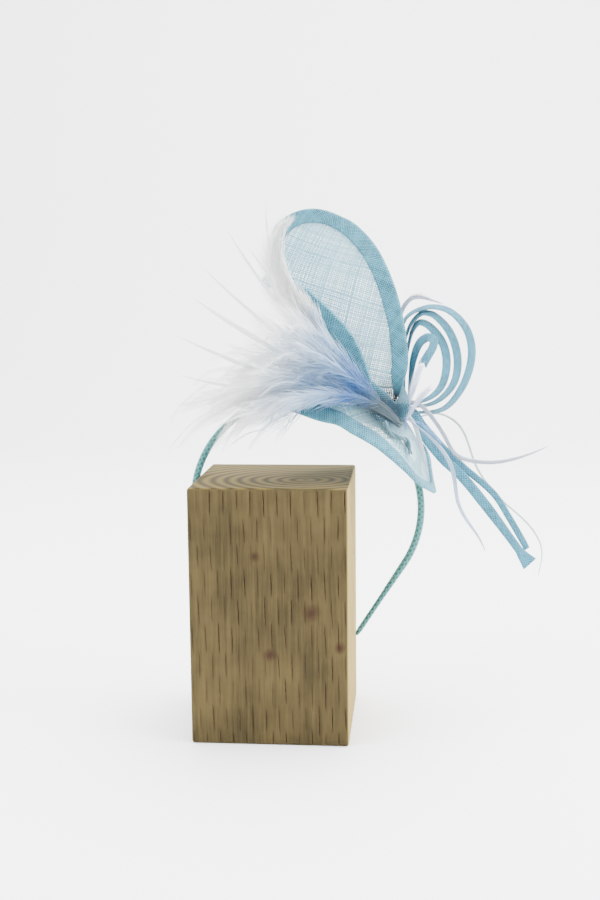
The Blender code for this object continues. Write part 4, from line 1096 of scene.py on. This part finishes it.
def barb_tree():
    """Geometry Nodes: barbs on both sides of every shaft, and the shafts themselves."""
    made = bpy.data.node_groups.new("barbs_on_shafts", "GeometryNodeTree")
    face = made.interface
    face.new_socket("Geometry", in_out="INPUT", socket_type="NodeSocketGeometry")
    for name in ("Spacing", "Lean", "Spread", "Droop", "Barb Width"):
        face.new_socket(name, in_out="INPUT", socket_type="NodeSocketFloat")
    face.new_socket("Seed", in_out="INPUT", socket_type="NodeSocketInt")
    face.new_socket("Finish", in_out="INPUT", socket_type="NodeSocketMaterial")
    face.new_socket("Geometry", in_out="OUTPUT", socket_type="NodeSocketGeometry")
    given = put(made, "NodeGroupInput").outputs
    shafts = put(made, "GeometryNodeMeshToCurve", {"Mesh": given["Geometry"]})
    even = put(made, "GeometryNodeResampleCurve", {"Curve": shafts.outputs[0],
                                                   "Length": given["Spacing"]}, mode="LENGTH")
    dots = put(made, "GeometryNodeCurveToPoints", {"Curve": even.outputs[0]}, mode="EVALUATED")
    run = dots.outputs["Tangent"]
    side = put(made, "GeometryNodeInputNamedAttribute", {"Name": "side"},
               data_type="FLOAT_VECTOR").outputs["Attribute"]
    reach = put(made, "GeometryNodeInputNamedAttribute", {"Name": "reach"},
                data_type="FLOAT").outputs["Attribute"]
    thick = put(made, "GeometryNodeInputNamedAttribute", {"Name": "thick"},
                data_type="FLOAT").outputs["Attribute"]
    bow = put(made, "GeometryNodeCurveQuadraticBezier", {"Resolution": 3, "Start": (0, 0, 0),
                                                         "Middle": (0.5, 0.05, 0.05),
                                                         "End": (1.0, -0.12, 0.0)})
    far = put(made, "GeometryNodeSplineParameter").outputs["Factor"]
    slim = put(made, "ShaderNodeMath", {0: far, 1: -0.85, 2: 1.0}, operation="MULTIPLY_ADD")
    ring = put(made, "GeometryNodeCurvePrimitiveCircle", {"Resolution": 3,
                                                          "Radius": given["Barb Width"]})
    barb = put(made, "GeometryNodeCurveToMesh", {"Curve": bow.outputs[0],
                                                 "Profile Curve": ring.outputs[0],
                                                 "Scale": slim.outputs[0], "Fill Caps": True})

    face_out = put(made, "ShaderNodeVectorMath", {0: run, 1: side}, operation="CROSS_PRODUCT")
    grown = []
    for way, mark in ((1.0, 0), (-1.0, 40)):
        drawn = []
        for k, (low, high) in enumerate(BARB_CHANCES, 1):
            seed = put(made, "ShaderNodeMath", {0: given["Seed"], 1: float(mark + k)},
                       operation="ADD")
            pick = put(made, "FunctionNodeRandomValue", {"Seed": seed.outputs[0], 2: low, 3: high},
                       data_type="FLOAT")
            drawn.append(pick.outputs[1])
        lean, ruffle, fall, tilt, share, tone = drawn
        swung = put(made, "ShaderNodeMath", {0: lean, 1: given["Spread"], 2: given["Lean"]},
                    operation="MULTIPLY_ADD")
        sine = put(made, "ShaderNodeMath", {0: swung.outputs[0]}, operation="SINE")
        sine = put(made, "ShaderNodeMath", {0: sine.outputs[0], 1: way}, operation="MULTIPLY")
        cosine = put(made, "ShaderNodeMath", {0: swung.outputs[0]}, operation="COSINE")
        ruffle = put(made, "ShaderNodeMath", {0: ruffle, 1: given["Spread"]}, operation="MULTIPLY")
        fall = put(made, "ShaderNodeMath", {0: fall, 1: given["Droop"]}, operation="MULTIPLY")
        ahead = put(made, "ShaderNodeCombineXYZ", {"Z": fall.outputs[0]})
        for vector, by in ((side, sine.outputs[0]), (run, cosine.outputs[0]),
                           (face_out.outputs[0], ruffle.outputs[0])):
            part = put(made, "ShaderNodeVectorMath", {0: vector, "Scale": by}, operation="SCALE")
            ahead = put(made, "ShaderNodeVectorMath", {0: ahead.outputs[0], 1: part.outputs[0]},
                        operation="ADD")
        turned = put(made, "ShaderNodeVectorMath", {0: face_out.outputs[0], "Scale": way},
                     operation="SCALE")
        part = put(made, "ShaderNodeVectorMath", {0: side, "Scale": tilt}, operation="SCALE")
        roll = put(made, "ShaderNodeVectorMath", {0: turned.outputs[0], 1: part.outputs[0]},
                   operation="ADD")
        turned = put(made, "FunctionNodeAxesToRotation",
                     {"Primary Axis": ahead.outputs[0], "Secondary Axis": roll.outputs[0]},
                     primary_axis="X", secondary_axis="Z")
        size = put(made, "ShaderNodeMath", {0: reach, 1: share}, operation="MULTIPLY")
        put_on = put(made, "GeometryNodeInstanceOnPoints",
                     {"Points": dots.outputs["Points"], "Instance": barb.outputs[0],
                      "Rotation": turned.outputs[0], "Scale": size.outputs[0]})
        toned = put(made, "GeometryNodeStoreNamedAttribute",
                    {"Geometry": put_on.outputs[0], "Name": "tone", "Value": tone},
                    data_type="FLOAT", domain="INSTANCE")
        grown.append(toned.outputs[0])
    disc = put(made, "GeometryNodeCurvePrimitiveCircle", {"Resolution": 5, "Radius": 1.0})
    stem = put(made, "GeometryNodeCurveToMesh", {"Curve": shafts.outputs[0],
                                                 "Profile Curve": disc.outputs[0],
                                                 "Scale": thick, "Fill Caps": True})
    joined = put(made, "GeometryNodeJoinGeometry")
    for piece in (*grown, stem.outputs[0]):
        made.links.new(piece, joined.inputs[0])
    real = put(made, "GeometryNodeRealizeInstances", {0: joined.outputs[0]})
    painted = put(made, "GeometryNodeSetMaterial", {"Geometry": real.outputs[0],
                                                    "Material": given["Finish"]})
    put(made, "NodeGroupOutput", {"Geometry": painted.outputs[0]})
    return made


barbs_on_shafts = barb_tree()


def feathered(name, shafts, finish, **sizes):
    """A plain mesh of feathers grown on shafts: each a path, side, reach and thickness."""
    mesh = bpy.data.meshes.new(name)
    starts = np.cumsum([0] + [len(path) for path, *_ in shafts])
    edges = [(k, k + 1) for a, b in zip(starts, starts[1:]) for k in range(a, b - 1)]
    mesh.from_pydata(np.concatenate([shaft[0] for shaft in shafts]).tolist(), edges, [])
    for k, title in enumerate(("side", "reach", "thick"), 1):
        store(mesh, title, np.concatenate([shaft[k] for shaft in shafts]))
    made = bpy.data.objects.new(name, mesh)
    scene.collection.objects.link(made)
    grower = made.modifiers.new("barbs", "NODES")
    grower.node_group = barbs_on_shafts
    sockets = {item.name: item.identifier for item in barbs_on_shafts.interface.items_tree
               if item.in_out == "INPUT"}
    for key, value in sizes.items():
        grower[sockets[key.replace("_", " ")]] = value
    grower[sockets["Finish"]] = finish
    graph = bpy.context.evaluated_depsgraph_get()
    plain = bpy.data.meshes.new_from_object(made.evaluated_get(graph))
    made.modifiers.clear()
    made.data = plain
    return made


def shaft_from(path, reach, thick, roll):
    """One shaft: its vane's plane starts upright and is rolled about the shaft."""
    run = unit(np.gradient(path, axis=0))
    side = unit(np.cross(run, to_rear))
    side = side * cos(roll) + np.cross(run, side) * sin(roll)
    return path, side, reach, thick


def dyed_down(name, root_tint, near_tint, middle_tint, far_tint, far):
    """Down dyed from the root outwards, by distance from the plume's root."""
    made, tree, shader = finish_named(name, 0.8, Specular_IOR_Level=0.2, Sheen_Weight=0.6)
    place = put(tree, "ShaderNodeTexCoord").outputs["Object"]
    blots = put(tree, "ShaderNodeTexNoise", {"Vector": place, "Scale": 60.0, "Detail": 2.0})
    away = put(tree, "ShaderNodeVectorMath", {0: place, 1: tuple(root)}, operation="DISTANCE")
    wobble = put(tree, "ShaderNodeMath", {0: blots.outputs[0], 1: 0.03, 2: away.outputs["Value"]},
                 operation="MULTIPLY_ADD")
    share = put(tree, "ShaderNodeMapRange", {"Value": wobble.outputs[0], "From Min": 0.022,
                                             "From Max": far})
    tint = put(tree, "ShaderNodeValToRGB", {0: share.outputs[0]})
    tint.color_ramp.elements[0].color = (*linear(root_tint), 1)
    tint.color_ramp.elements[1].color = (*linear(far_tint), 1)
    tint.color_ramp.elements.new(0.25).color = (*linear(near_tint), 1)
    tint.color_ramp.elements.new(0.55).color = (*linear(middle_tint), 1)
    tree.links.new(tint.outputs[0], shader.inputs["Base Color"])
    glow = put(tree, "ShaderNodeBsdfTranslucent", {"Color": tint.outputs[0]})
    blend = put(tree, "ShaderNodeMixShader", {0: 0.4, 1: shader.outputs[0], 2: glow.outputs[0]})
    tree.links.new(blend.outputs[0], tree.nodes["Material Output"].inputs["Surface"])
    return made


# Dyed down: matt, soft, and light comes through it
white_down = dyed_down("dyed_white_down", "#4F7490", "#4080C4", "#A2C6E5", "#FDFDFD", 0.100)
shafts = []
for lock in LOCKS:
    tip = np.array(lock[:3]) * PLUME_LENGTH
    for k in range(LOCK_SPLITS):
        end = tip * rng.uniform(0.74, 0.97) + rng.normal(0, LOCK_SPLIT_FAN, 3) * PLUME_LENGTH * 0.6
        s = np.linspace(0.03, 1.0, int(np.linalg.norm(end) / SHAFT_STEP))[:, None]
        above = unit(np.cross(end, to_rear))
        path = root + end * s - above * np.linalg.norm(end) * lock.bend * 4 * s * (1 - s)
        s = s[:, 0]
        reach = LOCK_BARB * np.interp(s, [0, 0.25, 0.6, 0.85, 1], [0.45, 0.8, 1, 0.85, 0.5])
        shafts.append(shaft_from(path, reach, 0.00035 * (1.05 - s), rng.normal(0, 0.7)))
down = feathered("plume_down", shafts, white_down, Spacing=0.0011, Lean=0.42, Spread=0.16,
                 Droop=0.25, Barb_Width=0.0120, Seed=3)
settle(down, "plume")

vane_points = np.array(VANE_PATH) * PLUME_LENGTH
gone = gone_along(vane_points)
at = np.linspace(0, gone[-1] * 0.94, 40)
path = root + np.stack([between(gone, vane_points[:, k], at) for k in range(3)], -1)
path += np.array(VANE_LEAN) * np.interp(at / gone[-1], [0.2, 0.7], [0, 1])[:, None]
reach = VANE_BARB * np.interp(at / gone[-1], [0, 0.15, 0.4, 0.75, 0.94], [0.6, 1.2, 1.2, 0.8, 0.4])
shafts = []
apart = np.interp(at / gone[-1], [0.1, 0.6, 1], [0, 1, 0.3])[:, None]
for vane in VANES:
    shifted = path + np.array((vane.right, vane.back, 0)) * apart
    shafts.append(shaft_from(shifted, reach, 0.0004 * (1.05 - at / gone[-1]), vane.roll))
tall = feathered("tall_vane", shafts, white_down, Spacing=0.00032, Lean=0.40, Spread=0.10,
                 Droop=0.10, Barb_Width=0.0105, Seed=9)
settle(tall, "plume")

s = np.linspace(0.0, 1.0, 26)
blue_down = dyed_down("deep_blue_down", "#4C7390", "#2E76BF", "#5A9AD4", "#DCE9F3", 0.082)
path = root + np.array(BLUE_TIP) * s[:, None] + np.array((0, 0, -0.006)) * np.sin(pi * s)[:, None]
reach = BLUE_BARB * np.interp(s, [0, 0.3, 0.7, 1.0], [0.5, 1.0, 1.0, 0.5])
blue = feathered("blue_vane", [shaft_from(path, reach, 0.0005 * (1.05 - s), 0.15)], blue_down,
                 Spacing=0.00018, Lean=0.33, Spread=0.06, Droop=0.05, Barb_Width=0.007, Seed=21)
settle(blue, "plume")

shafts = []
for k in range(WISPS):
    lock = LOCKS[k % len(LOCKS)]
    tip = np.array(lock[:3]) * PLUME_LENGTH
    start = root + tip * rng.uniform(0.5, 0.86) + np.array((0, rng.uniform(-0.012, 0.002), 0))
    heading = unit(unit(tip) + rng.normal(0, 0.35, 3) + np.array((0, -0.1, 0.15)))
    long = rng.uniform(0.018, 0.040)
    s = np.linspace(0, 1, 12)[:, None]
    fall = np.array((-0.1, 0, -1)) * long * rng.uniform(0.3, 0.95)
    swing = np.array((0, rng.normal(0, 0.12), 0)) * long
    path = start + heading * long * s + fall * s ** 2 + swing * np.sin(pi * s)
    path[:, 0] = np.maximum(path[:, 0], block_low[0] - WISP_LEFT)
    path[:, 2] += max(0, block_high[2] + WISP_LOW - path[:, 2].min())
    path[:, 1] = np.maximum(path[:, 1], cad_box[0][1] + WISP_FRONT)
    s = s[:, 0]
    reach = WISP_BARB * np.interp(s, [0, 0.3, 0.8, 1.0], [0.7, 1.0, 0.9, 0.5])
    shafts.append(shaft_from(path, reach, 0.00012 * (1.1 - s), rng.normal(0, 0.9)))
wisps = feathered("plume_wisps", shafts, white_down, Spacing=0.00060, Lean=0.62, Spread=0.25,
                  Droop=0.35, Barb_Width=0.024, Seed=33)
settle(wisps, "plume")

# Stripped quill: smooth and white with a greyer edge
quill_white, tree, shader = finish_named("stripped_white_quill", 0.4)
shader.inputs["Base Color"].default_value = (*linear("#DDE4E2"), 1)
paths, sides, ups, wide, thick = [], [], [], [], []
for quill in QUILLS:
    tip = np.array(quill[:3]) * PLUME_LENGTH
    above = unit(np.cross(tip, to_rear))
    s = np.linspace(0.05, 1.0, 40)
    path = (root + tip * s[:, None]
            + above * np.linalg.norm(tip) * quill.bend * (4 * s * (1 - s))[:, None])
    run = unit(np.gradient(path, axis=0))
    paths.append(path)
    sides.append(unit(np.cross(run, to_rear)))
    ups.append(np.cross(run, unit(np.cross(run, to_rear))))
    shape = np.interp(s, [0.05, 0.45, 0.7, 0.85, 1.0], [0.35, 0.6, 0.95, 0.75, 0.06])
    wide.append(PLUME_HEAD * quill.width / 2 * shape)
    thick.append(0.00045 * shape)
corners, faces = tubes(np.array(paths), np.array(sides), np.array(ups), np.array(wide),
                       np.array(thick), 6)
quills = outward(thing("stripped_quills", corners, faces, quill_white))
settle(quills, "plume")


# Trailing feathers: five slim feathers that fall to the right from the knot. Each has a
# smooth narrow vane on its shaft and a fringe of loose barbs.
TRAILS = {
    "trail_long": (
        StripRow(0.035, 0.00, 0.06, 52, 0.5), StripRow(0.085, 0.00, 0.10, 60, 0.8),
        StripRow(0.145, 0.00, 0.07, 65, 1), StripRow(0.25, -0.01, -0.05, 70, 1),
        StripRow(0.335, -0.01, -0.19, 70, 1), StripRow(0.37, -0.01, -0.27, 70, 1),
        StripRow(0.435, -0.01, -0.305, 70, 1), StripRow(0.545, -0.02, -0.325, 70, 1),
        StripRow(0.67, -0.03, -0.325, 70, 0.9), StripRow(0.80, -0.04, -0.295, 70, 0.7),
        StripRow(0.92, -0.05, -0.25, 70, 0.4), StripRow(1.00, -0.06, -0.21, 70, 0.15)),
    "trail_low": (
        StripRow(0.04, -0.085, -0.01, 60, 0.3), StripRow(0.20, -0.12, -0.13, 70, 0.6),
        StripRow(0.33, -0.12, -0.28, 70, 1), StripRow(0.38, -0.12, -0.43, 70, 1),
        StripRow(0.395, -0.12, -0.57, 70, 0.9), StripRow(0.45, -0.12, -0.69, 70, 0.8),
        StripRow(0.55, -0.12, -0.83, 70, 0.5), StripRow(0.59, -0.12, -0.92, 70, 0.2)),
    "trail_green": (
        StripRow(0.04, 0.11, -0.035, 30, 0.3), StripRow(0.13, 0.16, -0.045, 40, 0.5),
        StripRow(0.26, 0.20, -0.01, 50, 0.5), StripRow(0.36, 0.21, -0.05, 60, 0.6),
        StripRow(0.43, 0.21, -0.11, 60, 0.6), StripRow(0.475, 0.21, -0.21, 60, 0.6),
        StripRow(0.54, 0.21, -0.40, 60, 0.6), StripRow(0.63, 0.20, -0.53, 60, 0.5),
        StripRow(0.73, 0.19, -0.64, 60, 0.5), StripRow(0.85, 0.18, -0.74, 60, 0.5),
        StripRow(0.94, 0.17, -0.84, 60, 0.5), StripRow(1.00, 0.16, -0.97, 60, 0.4),
        StripRow(0.97, 0.15, -1.15, 60, 0.2)),
    "trail_top": (
        StripRow(0.03, 0.19, 0.05, 60, 0.3), StripRow(-0.03, 0.30, 0.30, 70, 0.6),
        StripRow(0.005, 0.32, 0.66, 75, 1), StripRow(0.09, 0.32, 0.79, 75, 1),
        StripRow(0.19, 0.31, 0.77, 75, 0.7), StripRow(0.30, 0.30, 0.735, 75, 0.2)),
    "trail_white": (
        StripRow(0.05, -0.055, 0.02, 60, 0.4), StripRow(0.095, -0.065, -0.03, 70, 0.8),
        StripRow(0.13, -0.075, -0.12, 75, 1), StripRow(0.155, -0.075, -0.22, 75, 1),
        StripRow(0.195, -0.07, -0.37, 75, 0.5)),
}
TRAIL_WIDTH = 0.0045
TRAIL_LENGTH = 0.095
TRAIL_TINTS = {"trail_long": ("#7A8195", "#ACB2BF"), "trail_low": ("#7A91B1", "#AAB8C9"),
               "trail_green": ("#879E97", "#B4C2BD"), "trail_top": ("#888EA6", "#B2B8C5"),
               "trail_white": ("#9FAABB", "#C5CAD0")}
# Dyed slips of vane: pale along one rim, darker towards the other
for name, rows in TRAILS.items():
    dark, pale = TRAIL_TINTS[name]
    finish = two_tints(name + "_dyed_feather", 0.55, dark, pale, 0.3)
    at, spots, run, side, share = strip_route(rows, TRAIL_LENGTH, 0.002)
    for _ in range(12):
        spots[1:-1] = (spots[:-2] + 2 * spots[1:-1] + spots[2:]) / 4
    run = unit(np.gradient(spots, axis=0))
    side = unit(side - run * (side * run).sum(-1, keepdims=True))
    reach = TRAIL_WIDTH * np.clip(share, 0.05, 1) * 1.6
    thick = 0.00035 * (1.1 - at / at[-1])
    shafts = [(spots[:-2], side[:-2], reach[:-2], thick[:-2])]
    grown = feathered(name + "_barbs", shafts, finish, Spacing=0.00028, Lean=0.20, Spread=0.05,
                      Droop=0.0, Barb_Width=0.018, Seed=len(name))
    blade_half = TRAIL_WIDTH / 2 * share * 0.62
    corners, quads = tubes(spots[None], side[None], np.cross(run, side)[None], blade_half[None],
                           0.00016, 6)
    blade = outward(thing(name + "_vane", corners, quads, finish))
    edge_tone = np.tile([0.95, 0.8, 0.3, 0.0, 0.3, 0.8], len(spots))
    store(blade.data, "tone", np.clip(edge_tone + rng.normal(0, 0.08, len(edge_tone)), 0, 1))
    for made in (grown, blade):
        settle(made, name)


# Tufts: short soft down at the knot, two lavender tufts behind the trailing feathers and
# two deeper blue ones over the tails.
Tuft = namedtuple("Tuft", "right back up to_right to_back to_up barb dye")
TUFTS = (
    Tuft(0.004, -0.008, -0.002, 0.014, 0.004, 0.030, 0.010, "lavender"),
    Tuft(0.005, -0.011, -0.003, 0.019, -0.004, 0.016, 0.009, "lavender"),
    Tuft(0.003, -0.013, 0.001, 0.005, -0.014, -0.008, 0.006, "blue"),
    Tuft(0.010, -0.010, -0.003, 0.027, -0.012, -0.017, 0.006, "blue"),
)
DYES = {"lavender": ("#98A8CC", "#CFDAEC"), "blue": ("#4C80BE", "#93B5DE")}
for dye, (dark, pale) in DYES.items():
    finish = two_tints(dye + "_tuft_down", 0.7, dark, pale, 0.3)
    shafts = []
    for tuft in TUFTS:
        if tuft.dye == dye:
            s = np.linspace(0, 1, 14)
            start, end = np.reshape(tuft[:6], (2, 3))
            path = mount + start + (end - start) * s[:, None]
            path[:, 2] += 0.002 * np.sin(pi * s)
            reach = tuft.barb * np.interp(s, [0, 0.4, 1.0], [0.5, 1.0, 0.6])
            shafts.append(shaft_from(path, reach, 0.0003 * (1.1 - s), 0.3))
    tufts = feathered(dye + "_tufts", shafts, finish, Spacing=0.00022, Lean=0.36, Spread=0.10,
                      Droop=0.05, Barb_Width=0.014, Seed=len(dye))
    settle(tufts)
